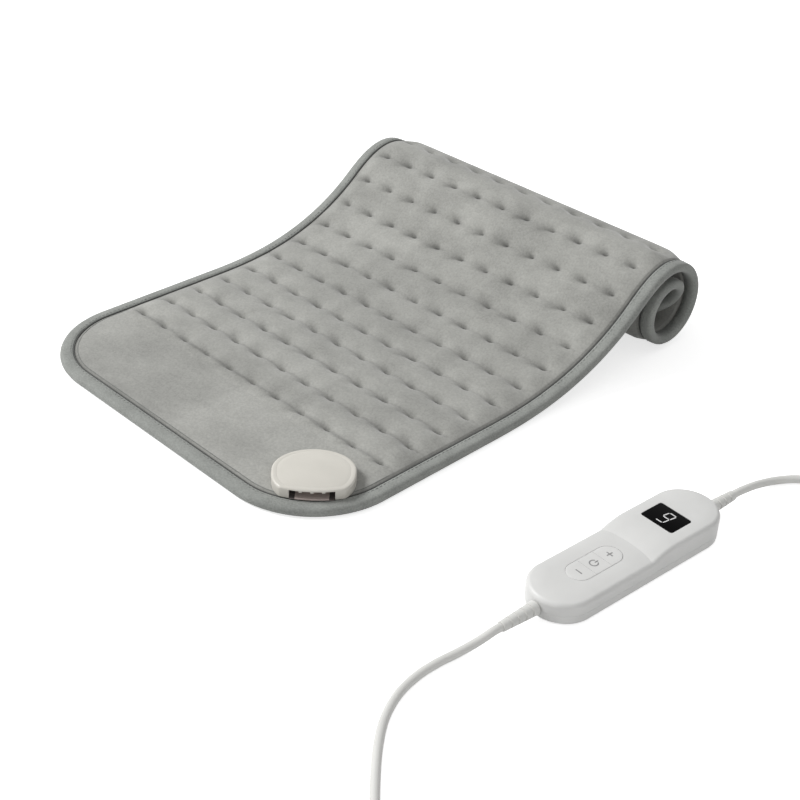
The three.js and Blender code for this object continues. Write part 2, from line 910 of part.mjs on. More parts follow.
function pinBlockSolid() {
  const body = box(pinBlock.length, pinBlock.width, pinBlock.height,
    pinBlockFront - pinBlock.length / 2, 0, pinBlockBottom);
  const holes = pinPlaces().map((sideways) => pinRod(contactPin.radius + clearance.seat,
    pinBlockFront - pinBlock.length / 2, pinBlockFront + clearance.overrun, sideways, pinHeight));
  return onSocket(cut(body, ...holes));
}

function contactPinSolid(sideways) {
  const root = pinBlockFront - pinBlock.length / 2 + clearance.seat;
  return onSocket(pinRod(contactPin.radius, root, pinBlockFront + contactPin.reach, sideways, pinHeight));
}

// A route gets a point wherever a straight stretch along the pad crosses a bend line well away
// from its ends.
function withBendLines(points, margin) {
  return points.flatMap((point, i) => {
    const next = points[i + 1];
    if (!next || Math.abs(next.x - point.x) > clearance.floor) return [point];
    const low = Math.min(point.y, next.y) + margin;
    const high = Math.max(point.y, next.y) - margin;
    const crossed = bendLines.filter((s) => s > low && s < high);
    if (next.y < point.y) crossed.reverse();
    return [point, ...crossed.map((s) => new THREE.Vector3(point.x, s, point.z))];
  });
}

// Heating wire: runs across the pad, joined at their ends, and one line back along the side
function heatingWireFlat() {
  const height = wireBottom + heatingWire.diameter / 2;
  const right = halfWidth - heatingWire.edgeInset;
  const returnX = heatingWire.returnInset - halfWidth;
  const plateRadius = socket.radius - socketBase.plateInset;
  const plateReach = Math.sqrt(plateRadius ** 2 - (heatingWire.leadSpacing / 2) ** 2);
  const leadEnd = socketS + plateReach + 2 * clearance.seat;
  const leadX = [socketX - heatingWire.leadSpacing / 2, socketX + heatingWire.leadSpacing / 2];
  const corners = [[leadX[1], leadEnd]];
  let side = 1;
  for (let run = 0; run < heatingWire.runs; run++) {
    const s = tuft.firstRow + rowPitch * (heatingWire.runOffsetShare + run * heatingWire.rowsPerRun);
    const from = run === 0 ? leadX[1] : side * right;
    const to = run === heatingWire.runs - 1 ? returnX : -side * right;
    corners.push([from, s], [to, s]);
    side = -side;
  }
  const crossing = (leadEnd + tuft.firstRow + rowPitch * heatingWire.runOffsetShare) / 2;
  corners.push([returnX, crossing], [leadX[0], crossing], [leadX[0], leadEnd]);
  const points = [new THREE.Vector3(...corners[0], height)];
  for (let i = 1; i < corners.length - 1; i++) {
    const [before, here, after] = corners.slice(i - 1, i + 2).map((c) => new THREE.Vector3(...c, height));
    for (const other of [before, after]) {
      const reach = Math.min(heatingWire.bendCut, other.distanceTo(here) / 2);
      points.push(here.clone().addScaledVector(other.clone().sub(here).normalize(), reach));
    }
  }
  points.push(new THREE.Vector3(...corners.at(-1), height));
  return sweptTube(withBendLines(points, heatingWire.diameter), heatingWire.diameter / 2, heatingWire.sides);
}

// Controller, in its own frame: Y along it, towards the display end

const endRadius = housing.width / 2;
const endCentre = housing.length / 2 - endRadius;
const keypadY = keypad.endDistance - housing.length / 2;
const windowY = housing.length / 2 - displayWindow.endDistance;

function topAt(x, y) {
  const start = housing.rampStart - housing.rampBow * (x / endRadius) ** 2;
  const past = THREE.MathUtils.clamp((y - start) / housing.rampLength, 0, 1);
  return housing.lowHeight + (housing.highHeight - housing.lowHeight) * (1 - (1 - past) ** 2);
}

// The outline's places start at the middle of the button end and run round to the right.
function housingRing(inset, heightAt) {
  const radius = endRadius - inset;
  const ring = [];
  const arc = (centre, from) => {
    for (let step = 0; step < housing.arcSteps; step++) {
      const angle = from + (step / housing.arcSteps) * (Math.PI / 2);
      ring.push([radius * Math.cos(angle), centre + radius * Math.sin(angle)]);
    }
  };
  const sideYs = [-endCentre];
  for (let step = 0; step <= housing.rampSteps; step++) {
    const margin = housing.rampBow;
    sideYs.push(housing.rampStart - margin + (step / housing.rampSteps) * (housing.rampLength + margin));
  }
  arc(-endCentre, -Math.PI / 2);
  for (const y of sideYs) ring.push([radius, y]);
  arc(endCentre, 0);
  arc(endCentre, Math.PI / 2);
  ring.push([-radius, endCentre]);
  for (const y of [...sideYs].reverse()) ring.push([-radius, y]);
  arc(-endCentre, Math.PI);
  const distinct = ring.filter(([x, y], i) => {
    const [lastX, lastY] = ring[(i + ring.length - 1) % ring.length];
    return Math.hypot(x - lastX, y - lastY) > clearance.floor / 10;
  });
  return distinct.map(([x, y]) => new THREE.Vector3(x, y, heightAt(x, y)));
}

function housingStack(levels) {
  return stackRings(levels.map(([inset, heightAt]) => housingRing(inset, heightAt)));
}

function roundedLevels(radius, steps, edgeAt) {
  return Array.from({ length: steps + 1 }, (_, i) => {
    const angle = (i / steps) * (Math.PI / 2);
    return [radius * (1 - Math.cos(angle)), (x, y) => edgeAt(x, y) - radius * (1 - Math.sin(angle))];
  });
}

function stadium(length, width) {
  const half = length / 2 - width / 2;
  const shape = new THREE.Shape();
  shape.moveTo(width / 2, -half);
  shape.lineTo(width / 2, half);
  shape.absarc(0, half, width / 2, 0, Math.PI, false);
  shape.lineTo(-width / 2, -half);
  shape.absarc(0, -half, width / 2, Math.PI, 2 * Math.PI, false);
  return shape;
}

function roundedRectangle(width, length, radius) {
  const [x, y] = [width / 2, length / 2];
  const shape = new THREE.Shape();
  shape.moveTo(x, radius - y);
  shape.absarc(x - radius, y - radius, radius, 0, Math.PI / 2, false);
  shape.absarc(radius - x, y - radius, radius, Math.PI / 2, Math.PI, false);
  shape.absarc(radius - x, radius - y, radius, Math.PI, 1.5 * Math.PI, false);
  shape.absarc(x - radius, radius - y, radius, 1.5 * Math.PI, 2 * Math.PI, false);
  return shape;
}

function screwPlaces() {
  const x = endRadius - caseScrew.sideDistance;
  const y = housing.length / 2 - caseScrew.endDistance;
  return [-1, 1].flatMap((signY) => [-1, 1].map((signX) => [signX * x, signY * y]));
}

const lowRoof = housing.lowHeight - housing.wall;
const highRoof = housing.highHeight - housing.wall;
const windowTop = housing.highHeight + housing.crown - displayWindow.sunk;
const windowBottom = windowTop - displayWindow.thickness;
const keyFlangeTop = lowRoof - clearance.seat;
const keyFlangeBottom = keyFlangeTop - keypad.flangeThickness;
const plungerTop = keyFlangeBottom - keypad.travel - keypad.pressGap;
const endInside = endRadius - housing.wall;
const flangeSetback = endInside - Math.sqrt(endInside ** 2 - strainRelief.flangeRadius ** 2);
const reliefStart = strainRelief.flangeThickness + flangeSetback + 2 * clearance.seat + housing.wall;
const reliefBase = housing.length / 2 + clearance.seat - reliefStart;
const boardEnd = reliefBase - circuitBoard.reliefGap;
const boardWidth = housing.width - 2 * circuitBoard.sideRoom;
const boardBottom = housing.wall + circuitBoard.ribHeight + clearance.seat;
const boardTop = boardBottom + circuitBoard.thickness;
const topShellFoot = housing.splitHeight + clearance.seat / 2;
const bottomShellRim = housing.splitHeight - clearance.seat / 2;
const screwTip = caseScrew.headDepth + caseScrew.headHeight + caseScrew.shankLength;

function reliefNotch() {
  return new THREE.CylinderGeometry(strainRelief.neckRadius + clearance.seat,
    strainRelief.neckRadius + clearance.seat, housing.length + clearance.overrun, strainRelief.sides)
    .translate(0, 0, housing.splitHeight);
}

function controllerTopShell() {
  const crownAt = (x, y) => topAt(x, y) + housing.crown;
  const outer = housingStack([
    [0, () => topShellFoot],
    ...roundedLevels(housing.topRounding, housing.roundingSteps, topAt),
    [housing.crownInset, crownAt]
  ]);
  const hollow = housingStack([
    [housing.wall, () => topShellFoot - clearance.overrun],
    [housing.wall, (x, y) => topAt(x, y) - housing.topRounding],
    [housing.wall + housing.topRounding / 2, (x, y) => topAt(x, y) - housing.wall]
  ]);
  const keyHole = prism(stadium(keypad.length + 2 * clearance.running, keypad.width + 2 * clearance.running),
    keyFlangeBottom, housing.lowHeight + clearance.overrun, keypad.arcSegments).translate(0, keypadY, 0);
  const pocket = prism(roundedRectangle(displayWindow.width + 2 * clearance.seat,
    displayWindow.length + 2 * clearance.seat, displayWindow.cornerRadius + clearance.seat),
    windowBottom - clearance.seat, windowTop + clearance.overrun, displayWindow.cornerSegments)
    .translate(0, windowY, 0);
  const sight = box(displayModule.width, displayModule.length, 2 * clearance.overrun,
    0, windowY, highRoof - clearance.overrun);
  const bosses = screwPlaces().map(([x, y]) => {
    const roof = y > 0 ? highRoof : lowRoof;
    return cylinder(caseScrew.bossRadius, topShellFoot, roof + housing.wall / 2, x, y, caseScrew.sides);
  });
  const pilots = screwPlaces().map(([x, y]) => cylinder(caseScrew.shankRadius + clearance.seat,
    topShellFoot - clearance.overrun, screwTip + clearance.seat, x, y, caseScrew.sides));
  const shell = cut(outer, hollow);
  return cut(join(shell, ...bosses), keyHole, pocket, sight, reliefNotch(), ...pilots);
}

function controllerBottomShell() {
  const rounding = roundedLevels(housing.bottomRounding, housing.roundingSteps, () => 0)
    .map(([inset, heightAt]) => [inset, (x, y) => -heightAt(x, y)])
    .reverse();
  const outer = housingStack([...rounding, [0, () => bottomShellRim]]);
  const hollow = housingStack([
    [housing.wall + housing.bottomRounding / 2, () => housing.wall],
    [housing.wall, () => housing.wall + housing.bottomRounding / 2],
    [housing.wall, () => bottomShellRim + clearance.overrun]
  ]);
  const ribs = [-1, 1].map((sign) => box(boardWidth, circuitBoard.ribThickness,
    circuitBoard.ribHeight + housing.wall / 2, 0, sign * circuitBoard.ribOffset, housing.wall / 2));
  const posts = screwPlaces().map(([x, y]) => cylinder(caseScrew.postRadius, housing.wall / 2,
    bottomShellRim, x, y, caseScrew.sides));
  const headRooms = screwPlaces().map(([x, y]) => cylinder(caseScrew.headRadius + clearance.seat,
    -clearance.overrun, caseScrew.headDepth + caseScrew.headHeight + clearance.seat, x, y, caseScrew.sides));
  const shankHoles = screwPlaces().map(([x, y]) => cylinder(caseScrew.shankRadius + clearance.seat,
    -clearance.overrun, bottomShellRim + clearance.overrun, x, y, caseScrew.sides));
  const shell = cut(outer, hollow);
  return cut(join(shell, ...ribs, ...posts), reliefNotch(), ...headRooms, ...shankHoles);
}

function keySolid(place) {
  const bodyTop = housing.lowHeight + housing.crown + keypad.proud;
  const body = prism(stadium(keypad.length, keypad.width), keyFlangeBottom, bodyTop, keypad.arcSegments);
  const flangeWidth = keypad.width + 2 * keypad.flangeReach;
  const flange = prism(stadium(keypad.length + 2 * keypad.flangeReach, flangeWidth),
    keyFlangeBottom, keyFlangeTop, keypad.arcSegments);
  const outerReach = keypad.length / 2 + keypad.flangeReach + clearance.overrun;
  const dividing = keypad.keyPitch / 2;
  const from = place < 0 ? -outerReach : place * keypad.keyPitch - dividing + keypad.keyGap / 2;
  const to = place > 0 ? outerReach : place * keypad.keyPitch + dividing - keypad.keyGap / 2;
  const range = box(keypad.width + 2 * outerReach, to - from, bodyTop,
    0, (from + to) / 2, keyFlangeBottom - clearance.floor);
  return overlap(join(body, flange), range).translate(0, keypadY, 0);
}

function tactSwitchSolid(place) {
  const y = keypadY + place * keypad.keyPitch;
  const bodyTop = plungerTop - tactSwitch.plungerHeight;
  const foot = boardTop + clearance.seat;
  const body = box(tactSwitch.width, tactSwitch.width, bodyTop - foot, 0, y, foot);
  const plunger = cylinder(tactSwitch.plungerRadius, bodyTop - clearance.seat, plungerTop,
    0, y, tactSwitch.sides);
  return join(body, plunger);
}

function circuitBoardSolid() {
  const board = prism(stadium(2 * boardEnd, boardWidth), boardBottom, boardTop, housing.arcSteps);
  const rooms = screwPlaces().map(([x, y]) => cylinder(caseScrew.postRadius + clearance.seat,
    boardBottom - clearance.overrun, boardTop + clearance.overrun, x, y, caseScrew.sides));
  return cut(board, ...rooms);
}

function displayWindowSolid() {
  return prism(roundedRectangle(displayWindow.width, displayWindow.length, displayWindow.cornerRadius),
    windowBottom, windowTop, displayWindow.cornerSegments).translate(0, windowY, 0);
}

function displayModuleSolid() {
  return box(displayModule.width - 2 * clearance.seat, displayModule.length - 2 * clearance.seat,
    windowBottom - clearance.seat - boardTop - clearance.seat, 0, windowY, boardTop + clearance.seat);
}

function caseScrewSolid([x, y]) {
  const headBottom = caseScrew.headDepth;
  const headTop = headBottom + caseScrew.headHeight;
  const profile = [
    [0, headBottom], [caseScrew.headRadius, headBottom], [caseScrew.headRadius, headTop],
    [caseScrew.shankRadius, headTop], [caseScrew.shankRadius, screwTip], [0, screwTip]
  ];
  return revolved(profile, caseScrew.sides).translate(x, y, 0);
}

// A profile of radius and height, turned about the Z axis
function revolved(profile, sides) {
  const points = profile.map(([radius, z]) => new THREE.Vector2(radius, z));
  return new THREE.LatheGeometry(points, sides).rotateX(Math.PI / 2);
}

// Strain relief along its own Z, from the flange inside the housing's round end to its tip
function strainReliefSolid(flanged) {
  const start = flanged ? reliefStart : 0;
  const profile = [[0, 0]];
  if (flanged) {
    profile.push([strainRelief.flangeRadius, 0], [strainRelief.flangeRadius, strainRelief.flangeThickness]);
    profile.push([strainRelief.neckRadius, strainRelief.flangeThickness], [strainRelief.neckRadius, start]);
  }
  const taper = strainRelief.rootRadius - strainRelief.tipRadius;
  const radiusAt = (share) => strainRelief.rootRadius - taper * share;
  profile.push([strainRelief.rootRadius, start]);
  for (let groove = 1; groove <= strainRelief.grooves; groove++) {
    const middle = groove / (strainRelief.grooves + 1);
    const half = strainRelief.grooveWidth / 2 / strainRelief.length;
    const z = (share) => start + share * strainRelief.length;
    profile.push([radiusAt(middle - half), z(middle - half)]);
    profile.push([radiusAt(middle) - strainRelief.grooveDepth, z(middle)]);
    profile.push([radiusAt(middle + half), z(middle + half)]);
  }
  profile.push([strainRelief.tipRadius, start + strainRelief.length], [0, start + strainRelief.length]);
  return revolved(profile, strainRelief.sides);
}

const reliefTip = housing.length / 2 + clearance.seat + strainRelief.length;

function housingRelief(sign) {
  return strainReliefSolid(true)
    .rotateX(-sign * Math.PI / 2)
    .translate(0, sign * reliefBase, housing.splitHeight);
}

function controllerPoint(x, y, z) {
  return new THREE.Vector3(x, y, z).applyAxisAngle(new THREE.Vector3(0, 0, 1), housing.turn)
    .add(new THREE.Vector3(housing.centreX, housing.centreY, 0));
}

// Free cord: straight out of the strain relief, then through its points
function freeCordCurve(sign, points) {
  const start = controllerPoint(0, sign * (reliefTip + clearance.seat), housing.splitHeight);
  const ahead = controllerPoint(0, sign * (reliefTip + clearance.seat + cord.diameter), housing.splitHeight);
  return new THREE.CatmullRomCurve3([start, ahead, ...points.map((p) => new THREE.Vector3(...p))]);
}

function circleShape(radius, sides) {
  const shape = new THREE.Shape();
  for (let k = 0; k < sides; k++) {
    const angle = (2 * Math.PI * k) / sides;
    const place = [radius * Math.cos(angle), radius * Math.sin(angle)];
    if (k === 0) shape.moveTo(...place);
    else shape.lineTo(...place);
  }
  return shape;
}

function freeCord(curve) {
  return new THREE.ExtrudeGeometry(circleShape(cord.diameter / 2, cord.sides), {
    steps: Math.round(curve.getLength() / cord.stepLength),
    extrudePath: curve
  });
}

// Coil: lies on the floor, spirals in, climbs a layer while it reverses, spirals out and leaves straight
function coilRoute(curve, coil, endHeight) {
  const points = curve.points;
  const start = points.at(-1);
  const heading = start.clone().sub(points.at(-2)).normalize();
  const side = new THREE.Vector3(-heading.y, heading.x, 0).multiplyScalar(coil.hand);
  const widest = cord.innerRadius + cord.turnPitch * coil.turnsPerLayer;
  const begin = start.clone().addScaledVector(heading, clearance.seat);
  const spiralStart = begin.clone().addScaledVector(heading, cord.diameter);
  const centre = spiralStart.clone().addScaledVector(side, widest);
  const reversal = 2 * Math.PI * coil.turnsPerLayer;
  const steps = Math.round(2 * coil.turnsPerLayer * cord.loopSteps);
  const route = [begin];
  for (let i = 0; i <= steps; i++) {
    const angle = (2 * reversal * i) / steps;
    const radius = cord.innerRadius + (cord.turnPitch * Math.abs(angle - reversal)) / (2 * Math.PI);
    const climb = THREE.MathUtils.smoothstep(angle, reversal - Math.PI / 2, reversal + Math.PI / 2);
    route.push(centre.clone()
      .addScaledVector(side, -radius * Math.cos(angle))
      .addScaledVector(heading, radius * Math.sin(angle))
      .setZ(start.z + cord.turnPitch * climb));
  }
  const finish = 2 * reversal;
  const leaving = heading.clone().multiplyScalar(Math.cos(finish)).addScaledVector(side, Math.sin(finish));
  const tailStart = route.at(-1).clone();
  for (let i = 1; i <= cord.tailSteps; i++) {
    const share = i / cord.tailSteps;
    route.push(tailStart.clone()
      .addScaledVector(leaving, cord.tailLength * share)
      .setZ(THREE.MathUtils.lerp(tailStart.z, endHeight, THREE.MathUtils.smoothstep(share, 0, 1))));
  }
  route.push(route.at(-1).clone().addScaledVector(leaving, cord.diameter));
  return { route, leaving, end: route.at(-1) };
}

// Least distance between the cord's surfaces in a coil, more than half a turn apart along it
function leastGap(route) {
  let least = Infinity;
  const apart = cord.loopSteps / 2;
  for (let i = 0; i < route.length; i++) {
    for (let j = i + apart; j < route.length; j++) {
      least = Math.min(least, route[i].distanceTo(route[j]) - cord.diameter);
    }
  }
  return least;
}

// Ends of the cords, each built along its own Y from the strain relief's root

function superRing(halfAcross, halfHigh, along, power, count) {
  return Array.from({ length: count }, (_, k) => {
    const angle = (2 * Math.PI * k) / count - Math.PI / 2;
    const [c, s] = [Math.cos(angle), Math.sin(angle)];
    return new THREE.Vector3(
      -halfAcross * Math.sign(c) * Math.abs(c) ** (2 / power),
      along,
      halfHigh * Math.sign(s) * Math.abs(s) ** (2 / power)
    );
  });
}

function plugSolid() {
  const ring = (widthPart, heightPart, along) => superRing(plug.faceHalfWidth * widthPart,
    plug.halfHeight * heightPart, along, plug.squareness, plug.ringPoints);
  const neck = plug.neckHalfWidthShare;
  const shoulder = plug.shoulderWidthShare;
  const chamferShare = 1 - plug.chamfer / plug.faceHalfWidth;
  const body = stackRings([
    ring(neck, neck * plug.faceHalfWidth / plug.halfHeight, 0),
    ring((neck + shoulder) / 2, shoulder, plug.length * plug.shoulderShare / 3),
    ring(shoulder, 1, plug.length * plug.shoulderShare),
    ring(1, 1, plug.length - plug.chamfer),
    ring(chamferShare, chamferShare, plug.length)
  ]);
  const slots = [-1, 1].map((sign) => box(blade.thickness + 2 * clearance.seat,
    blade.rooted + clearance.overrun, blade.width + 2 * clearance.seat, sign * blade.spacing / 2,
    plug.length - blade.rooted + (blade.rooted + clearance.overrun) / 2, -blade.width / 2 - clearance.seat));
  return cut(body, ...slots);
}

function bladeSolid(sign) {
  const length = blade.rooted - clearance.seat + blade.reach;
  const middle = plug.length - blade.rooted + clearance.seat + length / 2;
  return box(blade.thickness, length, blade.width, sign * blade.spacing / 2, middle, -blade.width / 2);
}

function connectorSolid() {
  const ring = (across, high, along) => superRing(across, high, along,
    connector.squareness, plug.ringPoints);
  const shoulderWidth = connector.halfWidth * plug.shoulderWidthShare;
  const neck = strainRelief.rootRadius + clearance.floor;
  const body = stackRings([
    ring(neck, neck, 0),
    ring(shoulderWidth, connector.halfHeight, connector.length * plug.shoulderShare),
    ring(connector.halfWidth, connector.halfHeight, connector.length - plug.chamfer),
    ring(connector.halfWidth - plug.chamfer, connector.halfHeight - plug.chamfer, connector.length)
  ]);
  const noseWidth = mouth.width - 2 * connector.noseClearance;
  const noseHeight = mouth.height - mouth.toothHeight - 2 * connector.noseClearance;
  const noseReach = connector.noseLength + plug.chamfer;
  const nose = box(noseWidth, noseReach, noseHeight, 0,
    connector.length + connector.noseLength - noseReach / 2, -noseHeight / 2);
  const bores = pinPlaces().map((sideways) => new THREE.CylinderGeometry(
    contactPin.radius + connector.boreClearance, contactPin.radius + connector.boreClearance,
    contactPin.reach + clearance.overrun, contactPin.sides)
    .translate(sideways, connector.length + connector.noseLength
      - contactPin.reach + (contactPin.reach + clearance.overrun) / 2, 0));
  return cut(join(body, nose), ...bores);
}

// Places a piece built along Y at a cord's end, pointing the way that the cord leaves
function atCordEnd(geometry, end, leaving, ahead) {
  const turn = Math.atan2(leaving.y, leaving.x) - Math.PI / 2;
  const place = end.clone().addScaledVector(leaving, ahead);
  return geometry.rotateZ(turn).translate(place.x, place.y, place.z);
}

function reliefAtEnd(coil) {
  const turned = strainReliefSolid(false).rotateX(Math.PI / 2).translate(0, strainRelief.length, 0);
  return atCordEnd(turned, coil.end, coil.leaving, clearance.seat);
}

// Materials
function material(color, roughness, metalness = 0) {
  return new THREE.MeshStandardMaterial({ color, roughness, metalness });
}

const plush = material(0xa9aaa4, 0.95);
const bindingCloth = material(0x82857f, 0.8);
const feltWhite = material(0xd9d8d2, 1);
const wireSleeve = material(0xc8b9a0, 0.6);
const socketPlastic = material(0xd7d4cb, 0.35);
const darkPlastic = material(0x4a4644, 0.5);
const housingPlastic = material(0xd6d6d4, 0.35);
const windowBlack = material(0x060607, 0.12);
const boardGreen = material(0x2c6b45, 0.6);
const switchBlack = material(0x202022, 0.5);
const steel = material(0xb8bbbe, 0.3, 1);
const brass = material(0xc9a45c, 0.3, 1);
const cordRubber = material(0xdcdcda, 0.5);

// Assembly
const heatingPad = new THREE.Group();

function addPiece(group, name, geometry, finish) {
  const welded = weld(geometry);
  welded.computeVertexNormals();
  const mesh = new THREE.Mesh(welded, finish);
  mesh.name = name;
  group.add(mesh);
}

const padGroup = new THREE.Group();
heatingPad.add(padGroup);
addPiece(padGroup, "plush_top_cover", layOnPad(cut(topCoverFlat(), socketHole())), plush);
addPiece(padGroup, "plush_back_cover", layOnPad(backCoverFlat()), plush);
addPiece(padGroup, "inner_felt", layOnPad(feltFlat()), feltWhite);
addPiece(padGroup, "heating_wire", layOnPad(heatingWireFlat()), wireSleeve);
addPiece(padGroup, "edge_binding", layOnPad(bindingFlat()), bindingCloth);

const socketGroup = new THREE.Group();
socketGroup.position.y = -tuft.firstRow;
heatingPad.add(socketGroup);
addPiece(socketGroup, "socket_cover", socketCover(), socketPlastic);
addPiece(socketGroup, "socket_base", socketBaseSolid(), socketPlastic);
addPiece(socketGroup, "pin_block", pinBlockSolid(), darkPlastic);
pinPlaces().forEach((sideways, i) => {
  addPiece(socketGroup, `contact_pin_${i + 1}`, contactPinSolid(sideways), brass);
});

const controller = new THREE.Group();
controller.position.set(housing.centreX, housing.centreY, 0);
controller.rotation.z = housing.turn;
heatingPad.add(controller);
addPiece(controller, "controller_top_shell", controllerTopShell(), housingPlastic);
addPiece(controller, "controller_bottom_shell", controllerBottomShell(), housingPlastic);
addPiece(controller, "display_window", displayWindowSolid(), windowBlack);
addPiece(controller, "display_module", displayModuleSolid(), switchBlack);
["minus_button", "power_button", "plus_button"].forEach((name, i) => {
  addPiece(controller, name, keySolid(i - 1), housingPlastic);
  addPiece(controller, `tact_switch_${i + 1}`, tactSwitchSolid(i - 1), switchBlack);
});
addPiece(controller, "circuit_board", circuitBoardSolid(), boardGreen);
addPiece(controller, "mains_strain_relief", housingRelief(-1), cordRubber);
addPiece(controller, "pad_lead_strain_relief", housingRelief(1), cordRubber);
screwPlaces().forEach((place, i) => {
  addPiece(controller, `case_screw_${i + 1}`, caseScrewSolid(place), steel);
});

const cords = new THREE.Group();
heatingPad.add(cords);
const mainsCurve = freeCordCurve(-1, mainsLeadPoints);
const mainsCoiled = coilRoute(mainsCurve, mainsCoil, plug.halfHeight + clearance.floor);
const plugStart = strainRelief.length + 2 * clearance.seat;
addPiece(cords, "mains_cord", freeCord(mainsCurve), cordRubber);
const mainsWound = sweptTube(mainsCoiled.route, cord.diameter / 2, cord.coilSides);
addPiece(cords, "mains_cord_coil", mainsWound, cordRubber);
addPiece(cords, "plug_strain_relief", reliefAtEnd(mainsCoiled), cordRubber);
const plugPiece = atCordEnd(plugSolid(), mainsCoiled.end, mainsCoiled.leaving, plugStart);
addPiece(cords, "mains_plug", plugPiece, cordRubber);
[-1, 1].forEach((sign, i) => {
  const piece = atCordEnd(bladeSolid(sign), mainsCoiled.end, mainsCoiled.leaving, plugStart);
  addPiece(cords, `plug_blade_${i + 1}`, piece, brass);
});
const padCurve = freeCordCurve(1, padLeadPoints);
const padCoiled = coilRoute(padCurve, padCoil, connector.halfHeight + clearance.floor);
addPiece(cords, "pad_lead", freeCord(padCurve), cordRubber);
addPiece(cords, "pad_lead_coil", sweptTube(padCoiled.route, cord.diameter / 2, cord.coilSides), cordRubber);
addPiece(cords, "connector_strain_relief", reliefAtEnd(padCoiled), cordRubber);
const connectorPiece = atCordEnd(connectorSolid(), padCoiled.end, padCoiled.leaving, plugStart);
addPiece(cords, "pad_connector", connectorPiece, cordRubber);

for (const [name, coiled, curve] of [["mains", mainsCoiled, mainsCurve], ["pad", padCoiled, padCurve]]) {
  const wound = new THREE.CurvePath();
  for (let i = 1; i < coiled.route.length; i++) {
    wound.add(new THREE.LineCurve3(coiled.route[i - 1], coiled.route[i]));
  }
  const free = curve.getLength();
  console.log(`${name} lead: ${free.toFixed(0)} mm free, ${wound.getLength().toFixed(0)} mm coiled, `
    + `least gap in the coil ${leastGap(coiled.route).toFixed(2)} mm`);
}

export default heatingPad;
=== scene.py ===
# Heating pad with a plug-in controller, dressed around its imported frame.
# Everything is in metres, with +Z up and the floor at zero.
import math

import bmesh
import bpy
import numpy
from mathutils import Matrix, Vector


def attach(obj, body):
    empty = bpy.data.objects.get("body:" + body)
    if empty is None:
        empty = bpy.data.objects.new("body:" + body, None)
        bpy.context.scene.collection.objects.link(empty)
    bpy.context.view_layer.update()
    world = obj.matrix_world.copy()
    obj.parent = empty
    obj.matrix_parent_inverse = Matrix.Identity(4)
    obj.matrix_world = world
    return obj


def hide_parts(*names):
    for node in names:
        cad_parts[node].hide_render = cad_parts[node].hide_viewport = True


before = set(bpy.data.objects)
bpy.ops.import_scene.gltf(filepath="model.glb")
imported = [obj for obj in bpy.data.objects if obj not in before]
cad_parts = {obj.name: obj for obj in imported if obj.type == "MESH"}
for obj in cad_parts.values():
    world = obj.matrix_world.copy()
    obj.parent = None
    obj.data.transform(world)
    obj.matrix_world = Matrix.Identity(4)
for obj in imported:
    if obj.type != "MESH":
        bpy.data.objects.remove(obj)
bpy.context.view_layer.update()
mainBody = "pad_and_controller"
print("frame loaded:", len(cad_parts), "nodes")


def newObject(name, data):
    made = bpy.data.objects.new(name, data)
    bpy.context.scene.collection.objects.link(made)
    return made


# Camera, from the photograph's own vanishing lines
camera = {
    "place": (0.65047, -0.52155, 0.52763),
    "azimuth": 44.42,
    "elevation": 32.58,
    "roll": 2.53,
    "lens": 65.07,
    "sensor": 36,
    "nearest": 0.01,
}


def makeCamera():
    azimuth, elevation, roll = (math.radians(camera[k]) for k in ("azimuth", "elevation", "roll"))
    back = Vector((
        math.sin(azimuth) * math.cos(elevation),
        -math.cos(azimuth) * math.cos(elevation),
        math.sin(elevation),
    ))
    right = (-back).cross(Vector((0, 0, 1))).normalized()
    up = right.cross(-back)
    tiltedRight = right * math.cos(roll) + up * math.sin(roll)
    tiltedUp = up * math.cos(roll) - right * math.sin(roll)
    data = bpy.data.cameras.new("photoCamera")
    data.lens = camera["lens"]
    data.sensor_width = camera["sensor"]
    data.clip_start = camera["nearest"]
    seen = newObject("photoCamera", data)
    turned = Matrix((tiltedRight, tiltedUp, back)).transposed().to_4x4()
    seen.matrix_world = Matrix.Translation(camera["place"]) @ turned
    bpy.context.scene.camera = seen


makeCamera()
print("camera placed")


# Cords: each is one curve, from its strain relief through the free stretch and the coil
cord = {
    "diameter": 0.0052,
    "turnPitch": 0.0057,
    "innerRadius": 0.0208,
    "tail": 0.025,
    "tailSteps": 10,
    "seat": 0.0003,
    "housingCentre": (0.28515, 0.04196),
    "housingTurn": math.radians(-4),
    "splitHeight": 0.0065,
    "reliefTip": 0.09845,
    "stepsPerTurn": 48,
    "stepsPerSpan": 6,
    "roundness": 4,
}
mainsLead = {
    "side": -1,
    "points": [
        (0.2771, -0.068, 0.0053), (0.2758, -0.075, 0.0038), (0.2739, -0.087, 0.0028),
        (0.2723, -0.0983, 0.0027), (0.272, -0.113, 0.0027), (0.275, -0.13, 0.0027),
        (0.283, -0.1475, 0.0027), (0.295, -0.1635, 0.0027), (0.3095, -0.179, 0.0027),
        (0.326, -0.195, 0.0027), (0.3455, -0.2129, 0.0027), (0.366, -0.2316, 0.0027),
    ],
    "turns": 3.625,
    "hand": 1,
    "endHeight": 0.0084,
}
padLead = {
    "side": 1,
    "points": [
        (0.2936, 0.1575, 0.0054), (0.2952, 0.168, 0.0039), (0.2986, 0.1785, 0.0029),
        (0.3055, 0.1893, 0.0027), (0.316, 0.1988, 0.0027), (0.3286, 0.2072, 0.0027),
        (0.3425, 0.2161, 0.0027),
    ],
    "turns": 2.125,
    "hand": -1,
    "endHeight": 0.0067,
}


def fromHousing(x, y, z):
    # a place in the controller's own frame, in the object's
    c, s = math.cos(cord["housingTurn"]), math.sin(cord["housingTurn"])
    cx, cy = cord["housingCentre"]
    return Vector((cx + c * x - s * y, cy + s * x + c * y, z))


